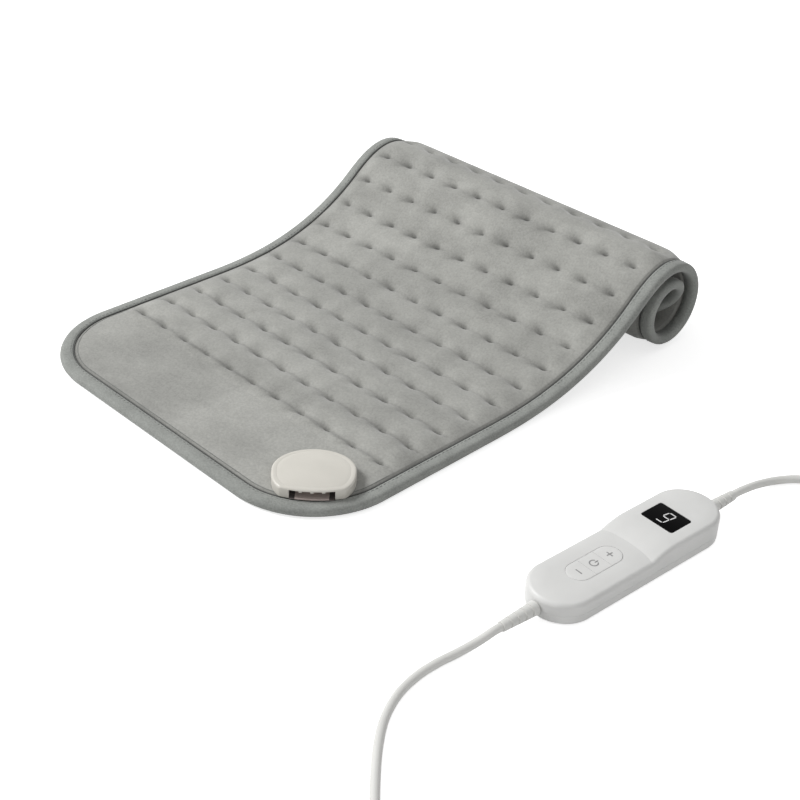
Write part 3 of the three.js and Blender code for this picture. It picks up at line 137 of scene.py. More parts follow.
def smoothLine(points, steps):
    # evenly rounded line through the points, with so many steps between two of them
    line = []
    for i in range(len(points) - 1):
        before, a, b = points[max(i - 1, 0)], points[i], points[i + 1]
        after = points[min(i + 2, len(points) - 1)]
        for k in range(steps):
            t = k / steps
            line.append((
                a * 2 + (b - before) * t + (before * 2 - a * 5 + b * 4 - after) * t * t
                + (a * 3 - before - b * 3 + after) * t * t * t
            ) / 2)
    line.append(points[-1])
    return line


def fadeIn(x, low, high):
    # smoothly from nothing to one between two places, for a number or an array
    t = numpy.clip((x - low) / (high - low), 0, 1)
    return t * t * (3 - 2 * t)


def cordRoute(lead):
    # from the sleeve along the chosen points, inwards round the coil, out again on top of it, and on
    tip = cord["reliefTip"] + cord["seat"]
    exitPoint = fromHousing(0, lead["side"] * tip, cord["splitHeight"])
    ahead = fromHousing(0, lead["side"] * (tip + cord["diameter"]), cord["splitHeight"])
    chosen = [exitPoint, ahead] + [Vector(p) for p in lead["points"]]
    route = smoothLine(chosen, cord["stepsPerSpan"])
    heading = (chosen[-1] - chosen[-2]).normalized()
    side = Vector((-heading.y, heading.x, 0)) * lead["hand"]
    widest = cord["innerRadius"] + cord["turnPitch"] * lead["turns"]
    start = chosen[-1] + heading * (cord["seat"] + cord["diameter"])
    centre = start + side * widest
    reversal = 2 * math.pi * lead["turns"]
    steps = round(2 * lead["turns"] * cord["stepsPerTurn"])
    for i in range(steps + 1):
        angle = 2 * reversal * i / steps
        radius = cord["innerRadius"] + cord["turnPitch"] * abs(angle - reversal) / (2 * math.pi)
        climb = fadeIn(angle, reversal - math.pi / 2, reversal + math.pi / 2)
        place = centre - side * radius * math.cos(angle) + heading * radius * math.sin(angle)
        place.z = chosen[-1].z + cord["turnPitch"] * climb
        route.append(place)
    leaving = heading * math.cos(2 * reversal) + side * math.sin(2 * reversal)
    tailStart, tailSteps = route[-1].copy(), cord["tailSteps"]
    for k in range(1, tailSteps + 1):
        place = tailStart + leaving * cord["tail"] * k / tailSteps
        place.z = tailStart.z + (lead["endHeight"] - tailStart.z) * fadeIn(k / tailSteps, 0, 1)
        route.append(place)
    route.append(route[-1] + leaving * cord["diameter"])
    return route


def cordEnd(lead, past):
    # the frame of a place so far past a lead's end, with Y the way the cord leaves
    ends = cordRoute(lead)
    leaving = (ends[-1] - ends[-2]).normalized()
    heading = math.atan2(leaving.y, leaving.x) - math.pi / 2
    return Matrix.Translation(ends[-1] + leaving * past) @ Matrix.Rotation(heading, 4, "Z")


def makeCord(name, lead, replaced):
    route = cordRoute(lead)
    curve = bpy.data.curves.new(name, "CURVE")
    curve.dimensions = "3D"
    curve.bevel_depth = 1  # each point's own radius gives the thickness
    curve.bevel_resolution = cord["roundness"]
    curve.use_fill_caps = True
    spline = curve.splines.new("POLY")
    spline.points.add(len(route) - 1)
    for point, place in zip(spline.points, route):
        point.co = (*place, 1)
        point.radius = cord["diameter"] / 2
    piece = newObject(name, curve)
    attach(piece, mainBody)
    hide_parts(*replaced)
    return piece


def declareCord(lead):
    route = cordRoute(lead)


mainsCord = makeCord("mainsCordWhole", mainsLead, ["mains_cord", "mains_cord_coil"])
padCord = makeCord("padLeadWhole", padLead, ["pad_lead", "pad_lead_coil"])
print("cords laid")


# Materials: each is made from its own few values
def newMaterial(name, values):
    material = bpy.data.materials.new(name)
    material.use_nodes = True
    tree = material.node_tree
    shader = tree.nodes["Principled BSDF"]
    for socket, value in values.items():
        shader.inputs[socket].default_value = value
    place = tree.nodes.new("ShaderNodeTexCoord")
    return material, tree, shader, place.outputs["Object"]


def addNoise(tree, place, scale, detail, roughness=0.5, stretch=None):
    noise = tree.nodes.new("ShaderNodeTexNoise")
    noise.inputs["Scale"].default_value = scale
    noise.inputs["Detail"].default_value = detail
    noise.inputs["Roughness"].default_value = roughness
    if stretch:
        mapping = tree.nodes.new("ShaderNodeMapping")
        mapping.inputs["Scale"].default_value = stretch
        tree.links.new(place, mapping.inputs["Vector"])
        place = mapping.outputs["Vector"]
    tree.links.new(place, noise.inputs["Vector"])
    return noise.outputs["Fac"]


def addRamp(tree, source, low, high, dark, light):
    ramp = tree.nodes.new("ShaderNodeValToRGB")
    ramp.color_ramp.elements[0].position = low
    ramp.color_ramp.elements[1].position = high
    ramp.color_ramp.elements[0].color = (*dark, 1)
    ramp.color_ramp.elements[1].color = (*light, 1)
    tree.links.new(source, ramp.inputs["Fac"])
    return ramp.outputs["Color"]


def multiplied(tree, first, second):
    mix = tree.nodes.new("ShaderNodeMix")
    mix.data_type = "RGBA"
    mix.blend_type = "MULTIPLY"
    mix.inputs["Factor"].default_value = 1
    tree.links.new(first, mix.inputs["A"])
    tree.links.new(second, mix.inputs["B"])
    return mix.outputs["Result"]


def addBump(tree, height, strength, distance, shader, under=None):
    bump = tree.nodes.new("ShaderNodeBump")
    bump.inputs["Strength"].default_value = strength
    bump.inputs["Distance"].default_value = distance
    tree.links.new(height, bump.inputs["Height"])
    if under:
        tree.links.new(under, bump.inputs["Normal"])
    tree.links.new(bump.outputs["Normal"], shader.inputs["Normal"])
    return bump.outputs["Normal"]


def shade(level, tint=(1, 1, 1)):
    # a screen shade from 0 to 255 with a tint, as the linear colour that shows it
    def linear(v):
        v = v / 255
        return v / 12.92 if v <= 0.04045 else ((v + 0.055) / 1.055) ** 2.4
    return tuple(linear(level * t) for t in tint)


fabric = {
    "plushDark": 156,
    "plushLight": 175,
    "plushTint": (1.0, 1.0, 0.972),
    "backDarker": 0.97,
    "pileScale": 620,
    "smudgeScale": 70,
    "smudgeShade": 243,
    "strokeScale": 34,
    "strokeShade": 236,
    "patchScale": 16,
    "patchShade": 243,
    # level of pressed pile, and of the painted shade in pits, tails, creases, seam and puckers
    "pressedAndShadedLevel": 132,
    "bindingDark": 141,
    "bindingLight": 159,
    "bindingTint": (0.985, 1.0, 0.975),
    "weaveScale": 900,
    "wornScale": 60,
    "wornShade": 232,
    # how much darker the welt is: painted shade for the groove at the binding's lip
    "weltShadowDarker": 0.56,
    "hemDarker": 0.84,
}


def plushMaterial(name, darker=1.0):
    # fine pile in two greys, with smudges, strokes and patches over it, and darker where the pile is
    # pressed and where shade is painted into it
    material, tree, shader, place = newMaterial(name, {
        "Roughness": 0.95, "Sheen Weight": 0.35, "Sheen Roughness": 0.45, "Specular IOR Level": 0.15,
    })
    tint = fabric["plushTint"]
    dark, light = fabric["plushDark"] * darker, fabric["plushLight"] * darker
    pile = addNoise(tree, place, fabric["pileScale"], 3, 0.65)
    smudge = addNoise(tree, place, fabric["smudgeScale"], 4, 0.6, (1, 0.6, 1))
    patch = addNoise(tree, place, fabric["patchScale"], 2, 0.5)
    mixed = addRamp(tree, pile, 0.30, 0.70, shade(dark, tint), shade(light, tint))
    stroke = addNoise(tree, place, fabric["strokeScale"], 3, 0.6, (0.5, 1, 1))
    smudged = addRamp(tree, smudge, 0.30, 0.72, shade(fabric["smudgeShade"]), shade(255))
    stroked = addRamp(tree, stroke, 0.36, 0.60, shade(fabric["strokeShade"]), shade(255))
    patched = addRamp(tree, patch, 0.35, 0.65, shade(fabric["patchShade"]), shade(255))
    for layer in (smudged, stroked, patched):
        mixed = multiplied(tree, mixed, layer)
    # painted shade: this attribute darkens the pile where it is pressed and where shade falls in pits,
    # tails, creases and the seam groove
    attribute = tree.nodes.new("ShaderNodeAttribute")
    attribute.attribute_name = "pressedAndShaded"
    pressedAndShaded = addRamp(tree, attribute.outputs["Fac"], 0, 1, shade(255), shade(fabric["pressedAndShadedLevel"]))
    tree.links.new(multiplied(tree, mixed, pressedAndShaded), shader.inputs["Base Color"])
    soft = addBump(tree, stroke, 0.30, 0.0016, shader)
    soft = addBump(tree, smudge, 0.25, 0.0010, shader, soft)
    addBump(tree, pile, 0.40, 0.0005, shader, soft)
    return material


def bindingMaterial(name, darker=1.0):
    # close weave, a little worn
    material, tree, shader, place = newMaterial(name, {
        "Roughness": 0.88, "Sheen Weight": 0.25, "Sheen Roughness": 0.4, "Specular IOR Level": 0.2,
    })
    tint = fabric["bindingTint"]
    weave = addNoise(tree, place, fabric["weaveScale"], 2, 0.5)
    worn = addNoise(tree, place, fabric["wornScale"], 3, 0.55)
    dark, light = fabric["bindingDark"] * darker, fabric["bindingLight"] * darker
    woven = addRamp(tree, weave, 0.3, 0.7, shade(dark, tint), shade(light, tint))
    faded = addRamp(tree, worn, 0.3, 0.7, shade(fabric["wornShade"]), shade(255))
    tree.links.new(multiplied(tree, woven, faded), shader.inputs["Base Color"])
    soft = addBump(tree, worn, 0.25, 0.001, shader)
    addBump(tree, weave, 0.3, 0.0003, shader, soft)
    return material


plushGrey = plushMaterial("plushGrey")
plushBack = plushMaterial("plushBack", fabric["backDarker"])
bindingGrey = bindingMaterial("bindingGrey")
weltShadowGrey = bindingMaterial("weltShadowGrey", fabric["weltShadowDarker"])
hemGrey = bindingMaterial("hemGrey", fabric["hemDarker"])
print("fabrics mixed")


# Plastics by screen shade and tint, metals by linear colour
plastics = {
    "housingWhite": {"level": 216, "tint": (1, 1, 0.992)},
    "keyWhite": {"level": 219, "tint": (1, 1, 0.992), "rough": 0.5},
    "socketCream": {"level": 203, "tint": (1.0, 0.985, 0.945), "rough": 0.32, "grain": 0.08},
    "socketInside": {"level": 176, "tint": (1.0, 0.93, 0.90), "rough": 0.5},
    "darkPlastic": {"level": 86, "tint": (1.0, 0.93, 0.92), "rough": 0.5},
    "cordRubber": {"level": 216, "tint": (1, 1, 0.985), "rough": 0.5, "grain": 0.2},
    "windowBlack": {
        "level": 10, "tint": (1, 1, 1.04), "rough": 0.22, "grain": 0.01, "spread": 0.1, "shine": 0.02},
    "printGrey": {"level": 140, "rough": 0.6},
    "boardGreen": {"level": 96, "tint": (0.55, 1.05, 0.7), "rough": 0.45, "grain": 0.2, "spread": 0.08},
    "switchBlack": {"level": 52, "rough": 0.45},
    "feltWhite": {"level": 222, "tint": (1, 1, 0.97), "rough": 0.95, "grain": 0.8, "spread": 0.06},
    "wireSleeve": {"level": 196, "tint": (1, 0.95, 0.84), "rough": 0.5},
}
metals = {
    "steelBright": {"colour": (0.62, 0.63, 0.65), "rough": 0.28},
    "brassBright": {"colour": (0.78, 0.62, 0.36), "rough": 0.26},
}
surface = {
    "grainScale": 1900,
    "wearScale": 26,
    "unevenGloss": 0.05,
    "brushScale": 420,
    "figureShade": 205,
    "figureScale": 700,
    "figureGlow": 0.25,
    "finest": 0.0001,
}


def plasticMaterial(name, level, tint=(1, 1, 1), rough=0.42, grain=0.12, spread=0.03, shine=0.4):
    # moulded plastic: fine grain, and a little unevenness in colour and gloss
    material, tree, shader, place = newMaterial(name, {"Specular IOR Level": shine, "IOR": 1.47})
    wear = addNoise(tree, place, surface["wearScale"], 3, 0.55)
    fine = addNoise(tree, place, surface["grainScale"], 2, 0.5)
    low, high = shade(level * (1 - spread), tint), shade(level * (1 + spread / 2), tint)
    tree.links.new(addRamp(tree, wear, 0.3, 0.7, low, high), shader.inputs["Base Color"])
    smooth, dull = rough - surface["unevenGloss"], rough + surface["unevenGloss"]
    gloss = addRamp(tree, wear, 0.3, 0.7, (smooth,) * 3, (dull,) * 3)
    tree.links.new(gloss, shader.inputs["Roughness"])
    addBump(tree, fine, grain, surface["finest"], shader)
    return material


def metalMaterial(name, colour, rough):
    # drawn metal, with long fine marks
    material, tree, shader, place = newMaterial(name, {"Metallic": 1})
    worn = addNoise(tree, place, surface["brushScale"], 3, 0.6, (1, 1, 8))
    dark = tuple(c * 0.86 for c in colour)
    tree.links.new(addRamp(tree, worn, 0.35, 0.65, dark, colour), shader.inputs["Base Color"])
    smooth, dull = rough * 0.8, rough * 1.3
    gloss = addRamp(tree, worn, 0.3, 0.7, (smooth,) * 3, (dull,) * 3)
    tree.links.new(gloss, shader.inputs["Roughness"])
    addBump(tree, worn, 0.08, surface["finest"], shader)
    return material


def glowMaterial(name, level):
    # the display's lit segments
    material, tree, shader, place = newMaterial(
        name, {"Roughness": 0.35, "Emission Strength": surface["figureGlow"]})
    fine = addNoise(tree, place, surface["figureScale"], 2, 0.5)
    colour = addRamp(tree, fine, 0.3, 0.7, shade(level * 0.95), shade(level))
    tree.links.new(colour, shader.inputs["Base Color"])
    tree.links.new(colour, shader.inputs["Emission Color"])
    return material


plastic = {name: plasticMaterial(name, **look) for name, look in plastics.items()}
metal = {name: metalMaterial(name, **look) for name, look in metals.items()}
digitLight = glowMaterial("digitLight", surface["figureShade"])
print("plastics and metals mixed")


# Pad: every soft layer is made flat, as x across, s along and h up, then laid on the pad's route
pad = {
    "halfWidth": 0.150,
    "length": 0.600,
    "cornerRadius": 0.065,
    "firstRow": 0.085,
    "rowPitch": 0.0258,
    "rows": 20,
    "columnPitch": 0.025,
    "lastColumn": 0.125,
    "cell": 0.0025,
    "arcRows": 16,
    "plainRows": 8,
    "rowsPerTuft": 10,
    "tuftedRows": 175,
    "lipRows": [0.0088, 0.0096, 0.0104, 0.0115, 0.0125],
    "lipZone": (0.0084, 0.0131),
    "neutral": 0.0053,
}
route = {
    "flatLength": 0.165,
    "riseLength": 0.150,
    "riseSharpness": 1.4,
    "riseAngle": 0.6807869,
    "coreRadius": 0.012,
    "turnPitch": 0.013,
    "steps": 2400,
}


def slopeAt(s):
    # the pad lies flat, rises, turns over its crest and then winds inwards
    rise, pitch = route["riseAngle"], route["turnPitch"]
    riseEnd = route["flatLength"] + route["riseLength"]
    wound = pad["length"] - riseEnd
    linear = pitch * rise / math.pi
    radius = math.sqrt(linear ** 2 + route["coreRadius"] ** 2 + pitch * wound / math.pi) - linear
    crest = 2 * rise * radius
    if s <= route["flatLength"]:
        return 0
    if s <= riseEnd:
        return rise * ((s - route["flatLength"]) / route["riseLength"]) ** route["riseSharpness"]
    if s <= riseEnd + crest:
        return rise * (1 - ((s - riseEnd) / crest) ** 2)
    here = math.sqrt(radius ** 2 - pitch * (s - riseEnd - crest) / math.pi)
    return -2 * math.pi * (radius - here) / pitch


def routeTable():
    # length along the pad, y, z and slope, step by step
    step = pad["length"] / route["steps"]
    table = [(0, -pad["firstRow"], pad["neutral"], 0)]
    y, z = -pad["firstRow"], pad["neutral"]
    for i in range(route["steps"]):
        slope = slopeAt((i + 0.5) * step)
        y += step * math.cos(slope)
        z += step * math.sin(slope)
        table.append(((i + 1) * step, y, z, slopeAt((i + 1) * step)))
    return numpy.array(table)


padRoute = routeTable()


def lay(flat):
    # places on the lying pad of an array of flat places
    s = numpy.clip(flat[:, 1], 0, pad["length"])
    over = flat[:, 1] - s
    y, z, slope = (numpy.interp(s, padRoute[:, 0], padRoute[:, k]) for k in (1, 2, 3))
    up = flat[:, 2] - pad["neutral"]
    return numpy.stack([
        flat[:, 0],
        y + over * numpy.cos(slope) - up * numpy.sin(slope),
        z + over * numpy.sin(slope) + up * numpy.cos(slope),
    ], axis=1)


def halfWidthAt(s, inset):
    # half the width, at a place along the pad, of an outline so far inside the pad's own
    fromEnd = min(s, pad["length"] - s)
    along = max(0, pad["cornerRadius"] - fromEnd)
    radius = pad["cornerRadius"] - inset
    return pad["halfWidth"] - pad["cornerRadius"] + math.sqrt(max(0, radius ** 2 - along ** 2))


def smoothNoise(x, y, scale, seed):
    # soft random field from -1 to 1, the same on every run
    size, shift = 256, 40
    table = numpy.random.default_rng(seed).uniform(-1, 1, (size, size))
    u, v = x / scale + shift, y / scale + shift
    i, j = numpy.floor(u).astype(int), numpy.floor(v).astype(int)
    a, b = fadeIn(u - i, 0, 1), fadeIn(v - j, 0, 1)
    i, j = i % (size - 1), j % (size - 1)
    return (
        table[i, j] * (1 - a) * (1 - b) + table[i + 1, j] * a * (1 - b)
        + table[i, j + 1] * (1 - a) * b + table[i + 1, j + 1] * a * b
    )


def meshPiece(name, points, faces, material):
    data = bpy.data.meshes.new(name)
    data.from_pydata([tuple(p) for p in points], [], faces)
    data.polygons.foreach_set("use_smooth", [True] * len(data.polygons))
    data.materials.append(material)
    data.update()
    return newObject(name, data)


def onPad(piece, replaced=None):
    # a soft piece of the pad, standing for a solid where it has one
    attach(piece, mainBody)
    if replaced:
        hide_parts(replaced)
    return piece


# Grid of the covers: columns across, and rows along that close up towards the rounded ends
def gridRows(inset):
    radius, arcRows = pad["cornerRadius"] - inset, pad["arcRows"]
    near = [inset + radius * (1 - math.cos(math.pi / 2 * k / arcRows)) for k in range(arcRows)]
    low, high = pad["lipZone"]
    near = sorted([s for s in near if not low < s < high] + pad["lipRows"])
    plain = [pad["cornerRadius"] + pad["cell"] * k for k in range(pad["plainRows"])]
    step = pad["rowPitch"] / pad["rowsPerTuft"]
    tufted = [pad["firstRow"] + step * k for k in range(pad["tuftedRows"])]
    far = [pad["length"] - s for s in near if pad["length"] - s > tufted[-1] + step / 2]
    return numpy.array(near + plain + tufted + far[::-1])


def coverGrid(inset):
    # the columns draw together where the rounded corners make the pad narrower
    rows = gridRows(inset)
    half = pad["halfWidth"] - inset
    count = int((half - 1e-9) / pad["cell"])
    low, high = (pad["halfWidth"] - s for s in reversed(pad["lipZone"]))
    cells = [k * pad["cell"] for k in range(count + 1)]
    inner = [c for c in cells if c < low]
    outer = [pad["halfWidth"] - s for s in reversed(pad["lipRows"])]
    outer += [c for c in cells if c > high] + [half]
    columns = numpy.array([-c for c in (inner + outer)[:0:-1]] + inner + outer)
    widths = numpy.array([halfWidthAt(s, inset) for s in rows])
    x = columns[None, :] * (widths / half)[:, None]
    s = numpy.repeat(rows[:, None], len(columns), axis=1)
    return x, s


def gridFaces(rows, columns):
    return [
        (r * columns + c, r * columns + c + 1, (r + 1) * columns + c + 1, (r + 1) * columns + c)
        for r in range(rows - 1) for c in range(columns - 1)
    ]


def fromEdge(x, s):
    # how far a flat place lies inside the pad's outline
    near = numpy.minimum(s, pad["length"] - s)
    along = numpy.maximum(0, pad["cornerRadius"] - near)
    across = numpy.maximum(0, numpy.abs(x) - pad["halfWidth"] + pad["cornerRadius"])
    rounded = pad["cornerRadius"] - numpy.hypot(along, across)
    straight = numpy.minimum(near, pad["halfWidth"] - numpy.abs(x))
    return numpy.where((along > 0) & (across > 0), rounded, straight)


# Plush top cover: swollen between its tufts by a cloth simulation, flat, before it is laid out
plush = {
    "inset": 0.0033,
    "edgeHeight": 0.0059,
    "plainHeight": 0.0070,
    "dimpleHeight": 0.0056,
    "ridgeHeight": 0.0090,
    "pinchRadius": 0.0032,
    "pinchStretch": 1.5,
    "pinchFall": 1.25,
    "puffHeight": 0.0106,
    "puffFullness": 0.6,
    "underEdge": 0.0023,
    "underMiddle": 0.0048,
    "leastHeight": 0.0051,
    "hollowEdge": 0.0124,
    "lip": 0.0094,
    "rise": 0.0075,
    "plainRise": 0.0036,
    "quiltStart": 0.0085,
    "tuftMargin": 0.004,
    "heldAcross": 0.0030,
    "heldAlong": 0.0014,
    "overshoot": 0.0004,
    "frames": 16,
    "quality": 5,
    "pressure": 120,
    "mass": 0.001,
    "stretching": 15,
    "shearing": 5,
    "bending": 0.05,
    "slackAlong": 0.05,
    "slackAcross": 0.025,
    "slackWander": 0.5,
    "slackScale": 0.018,
    "slackSeed": 7,
}


def quiltHeight(x, s):
    # heights of the quilt before it swells: low at each tuft, a ridge between two tufts of a row
    row = numpy.abs(numpy.sin(math.pi * (s - pad["firstRow"]) / pad["rowPitch"]))
    puff = (plush["puffHeight"] - plush["ridgeHeight"]) * row ** plush["puffFullness"]
    rolls = plush["ridgeHeight"] + puff
    dx = (x + pad["columnPitch"] / 2) % pad["columnPitch"] - pad["columnPitch"] / 2
    ds = (s - pad["firstRow"] + pad["rowPitch"] / 2) % pad["rowPitch"] - pad["rowPitch"] / 2
    away = numpy.hypot(dx / plush["pinchStretch"], ds) / plush["pinchRadius"]
    swollen = rolls - (rolls - plush["dimpleHeight"]) * numpy.exp(-away ** plush["pinchFall"])
    edge = fromEdge(x, s)
    plainShare = fadeIn(edge, plush["lip"], plush["lip"] + plush["plainRise"])
    flat = plush["edgeHeight"] + (plush["plainHeight"] - plush["edgeHeight"]) * plainShare
    lastRow = pad["firstRow"] + (pad["rows"] - 1) * pad["rowPitch"]
    quilted = fadeIn(s, pad["firstRow"] - plush["quiltStart"], pad["firstRow"])
    quilted = quilted * (1 - fadeIn(s, lastRow, lastRow + plush["quiltStart"]))
    quilted = quilted * fadeIn(edge, plush["lip"], plush["lip"] + 2 * plush["rise"])
    return flat + (swollen - flat) * quilted


def tuftPlaces():
    columns = round(pad["lastColumn"] / pad["columnPitch"])
    places = [
        (k * pad["columnPitch"], pad["firstRow"] + r * pad["rowPitch"])
        for r in range(pad["rows"]) for k in range(-columns, columns + 1)
    ]
    least = plush["lip"] + plush["tuftMargin"]
    return [(x, s) for x, s in places if fromEdge(numpy.array(x), numpy.array(s)) > least]


def swell(x, s, height):
    # cloth simulation of the flat cover, held at its tufts and along its edge
    rows, columns = x.shape
    points = numpy.stack([x, s, height], axis=2).reshape(-1, 3)
    data = bpy.data.meshes.new("coverCloth")
    data.from_pydata([tuple(p) for p in points], [], gridFaces(rows, columns))
    sheet = newObject("coverCloth", data)
    edge = fromEdge(x, s).reshape(-1)
    flatX, flatS = points[:, 0], points[:, 1]
    held = edge < plush["lip"] + plush["plainRise"]
    held |= flatS < pad["firstRow"] - plush["quiltStart"]
    for tuftX, tuftS in tuftPlaces():
        nearAcross = numpy.abs(flatX - tuftX) < plush["heldAcross"]
        held |= nearAcross & (numpy.abs(flatS - tuftS) < plush["heldAlong"])
    pins = sheet.vertex_groups.new(name="held")
    pins.add([int(i) for i in numpy.nonzero(held)[0]], 1, "REPLACE")
    sheet.shape_key_add(name="start")
    slack = sheet.shape_key_add(name="slack")
    wander = 1 + plush["slackWander"] * smoothNoise(flatX, flatS, plush["slackScale"], plush["slackSeed"])
    along = plush["slackAlong"] * wander
    across = plush["slackAcross"] * wander
    stretched = points.copy()
    stretched[:, 0] = flatX * (1 + across)
    stretched[:, 1] = flatS + (flatS - pad["firstRow"]) * along
    slack.data.foreach_set("co", stretched.reshape(-1))
    cloth = sheet.modifiers.new("swelling", "CLOTH")
    settings = cloth.settings
    settings.quality = plush["quality"]
    settings.mass = plush["mass"]
    settings.tension_stiffness = plush["stretching"]
    settings.compression_stiffness = plush["stretching"]
    settings.shear_stiffness = plush["shearing"]
    settings.bending_stiffness = plush["bending"]
    settings.vertex_group_mass = "held"
    settings.use_pressure = True
    settings.uniform_pressure_force = plush["pressure"]
    settings.rest_shape_key = slack
    settings.effector_weights.gravity = 0
    cloth.collision_settings.use_collision = False
    cloth.collision_settings.use_self_collision = False
    cloth.point_cache.frame_start = 1
    cloth.point_cache.frame_end = plush["frames"]
    for frameNumber in range(1, plush["frames"] + 1):
        bpy.context.scene.frame_set(frameNumber)
    worked = sheet.evaluated_get(bpy.context.evaluated_depsgraph_get()).to_mesh()
    result = numpy.empty(len(points) * 3)
    worked.vertices.foreach_get("co", result)
    bpy.data.objects.remove(sheet, do_unlink=True)
    return result.reshape(points.shape)


# Pinch at each tuft: a pit at the tip of a shallow tail darkened with painted shade, and a crease that runs
# on along the row
pinch = {
    "pitAcross": 0.0017,
    "pitAlong": 0.0012,
    "pitDepth": 0.0004,
    "tailLength": 0.0078,
    "tailWidth": 0.0013,
    "tailSpread": 0.30,
    "tailDepth": 0.0009,
    "tipLength": 0.0019,
    "creaseLength": 0.0105,
    "creaseWidth": 0.0009,
    "creaseDepth": 0.0004,
    "rowWidth": 0.0016,
    "rowShade": 0.56,
    "rowFade": 0.13,
    "rowDepth": 0.0005,
    "rowBulge": 0.0012,
    "firstBulge": 0.0026,
    "seamShade": 0.8,
    "seamWidths": (0.0009, 0.0020),
    "hemShade": 0.30,
    "pitShade": 0.45,
    "tailShade": 0.55,
    "creaseShade": 0.50,
    "creaseEase": 0.001,
    "window": (0.022, 0.014),
    "beyondColumns": 0.008,
    "seed": 23,
    "least": {"force": 0.75, "length": 0.6, "lean": -0.2, "reach": 0.5},
    "most": {"force": 1.15, "length": 1.35, "lean": 0.5, "reach": 1.4},
    "wanderLeast": 0.65,
    "wanderSpread": 0.35,
    "wanderScale": 0.021,
    "wanderSeed": 31,
}


def pinched(x, s):
    # how far each place is drawn down by the tufts, and how dark its pile is painted: pressed pile, painted
    # shade in the pits, tails, creases and seam groove, and a darker band inside the hem
    depth, share = numpy.zeros(x.shape), numpy.zeros(x.shape)
    dice = numpy.random.default_rng(pinch["seed"])
    least, most = list(pinch["least"].values()), list(pinch["most"].values())
    for tuftX, tuftS in tuftPlaces():
        force, length, lean, reach = dice.uniform(least, most)
        dx, ds = x - tuftX, s - tuftS
        near = (numpy.abs(dx) < pinch["window"][0]) & (numpy.abs(ds) < pinch["window"][1])
        dx, ds = dx[near], ds[near]
        pit = numpy.exp(-(dx / pinch["pitAcross"]) ** 2 - (ds / pinch["pitAlong"]) ** 2)
        behind = numpy.maximum(-dx, 0)
        fall = numpy.where(dx < 0, pinch["tailLength"] * length, pinch["tipLength"])
        width = pinch["tailWidth"] + pinch["tailSpread"] * behind
        tail = numpy.exp(-(dx / fall) ** 2 - ((ds + lean * behind) / width) ** 2)
        ahead = numpy.clip(1 - dx / (pinch["creaseLength"] * reach), 0, 1)
        ahead = ahead * fadeIn(dx, -pinch["creaseEase"], pinch["creaseEase"])
        crease = ahead * numpy.exp(-(ds / pinch["creaseWidth"]) ** 2)
        depth[near] = numpy.maximum(depth[near], force * (
            pinch["pitDepth"] * pit + pinch["tailDepth"] * tail + pinch["creaseDepth"] * crease))
        # painted shade: the pile is darkened in each pit, along its tail where the pit's wall turns away
        # from the lamp, and in the crease ahead of it
        dark = numpy.clip(force * (
            pinch["pitShade"] * pit + pinch["tailShade"] * tail + pinch["creaseShade"] * crease), 0, 1)
        share[near] = numpy.maximum(share[near], dark)
    row = numpy.round((s - pad["firstRow"]) / pad["rowPitch"])
    noise = smoothNoise(x, s, pinch["wanderScale"], pinch["wanderSeed"])
    wander = pinch["wanderLeast"] + pinch["wanderSpread"] * noise
    bulge = numpy.where(row < 1, pinch["firstBulge"], pinch["rowBulge"]) * wander
    bulge = bulge * numpy.sin(math.pi * x / pad["columnPitch"]) ** 2
    fromRow = s - pad["firstRow"] - row * pad["rowPitch"] + bulge
    inQuilt = (row >= 0) & (row < pad["rows"])
    inQuilt &= numpy.abs(x) < pad["lastColumn"] + pinch["beyondColumns"]
    # painted shade: a dark line along each row's crease, fainter row by row
    line = inQuilt * wander * numpy.exp(-(fromRow / pinch["rowWidth"]) ** 2 - pinch["rowFade"] * row)
    depth = numpy.maximum(depth, pinch["rowDepth"] * line)
    edge = fromEdge(x, s)
    # painted shade in the groove where the cover meets the binding's lip
    seam = pinch["seamShade"] * (1 - fadeIn(numpy.abs(edge - plush["lip"]), *pinch["seamWidths"]))
    hem = pinch["hemShade"] * (edge < binding["hemInset"])
    return depth, numpy.maximum.reduce([share, pinch["rowShade"] * line, seam, hem])


def doubled(values):
    # rows of a grid with one more between each two, on a smooth curve through their neighbours
    before = numpy.concatenate([values[:1], values[:-2]])
    after = numpy.concatenate([values[2:], values[-1:]])
    middle = (9 * (values[:-1] + values[1:]) - before - after) / 16
    result = numpy.empty((2 * len(values) - 1,) + values.shape[1:])
    result[0::2], result[1::2] = values, middle
    return result


def finer(values):
    # a grid with one more row and column between each two
    return doubled(doubled(values).swapaxes(0, 1)).swapaxes(0, 1)


def coverPiece(name, top, under, shares, material):
    # closed piece: the worked sheet on one side, and on the other three long faces for each row
    rows, columns = shares.shape
    count = rows * columns
    placed = lay(numpy.concatenate([top.reshape(-1, 3), under.reshape(-1, 3)]))
    faces = gridFaces(rows, columns)
    for r in range(rows - 1):
        here, ahead = count + 4 * r, count + 4 * (r + 1)
        for k in range(3):
            faces.append((here + k, ahead + k, ahead + k + 1, here + k + 1))
        faces.append((here, r * columns, (r + 1) * columns, ahead))
        faces.append((ahead + 3, (r + 2) * columns - 1, (r + 1) * columns - 1, here + 3))
    faces.append(tuple([count + k for k in range(4)] + [c for c in range(columns - 1, -1, -1)]))
    last, lastUnder = (rows - 1) * columns, count + 4 * (rows - 1)
    faces.append(tuple([lastUnder + k for k in range(3, -1, -1)] + [last + c for c in range(columns)]))
    piece = meshPiece(name, placed, faces, material)
    # darkness painted into the pile: pressed pile, and painted shade in pits, tails, creases, seam and
    # puckers
    pressedAndShaded = piece.data.attributes.new("pressedAndShaded", "FLOAT", "POINT")
    values = numpy.concatenate([shares.reshape(-1), numpy.zeros(4 * rows)])
    pressedAndShaded.data.foreach_set("value", values.astype(numpy.float32))
    return piece


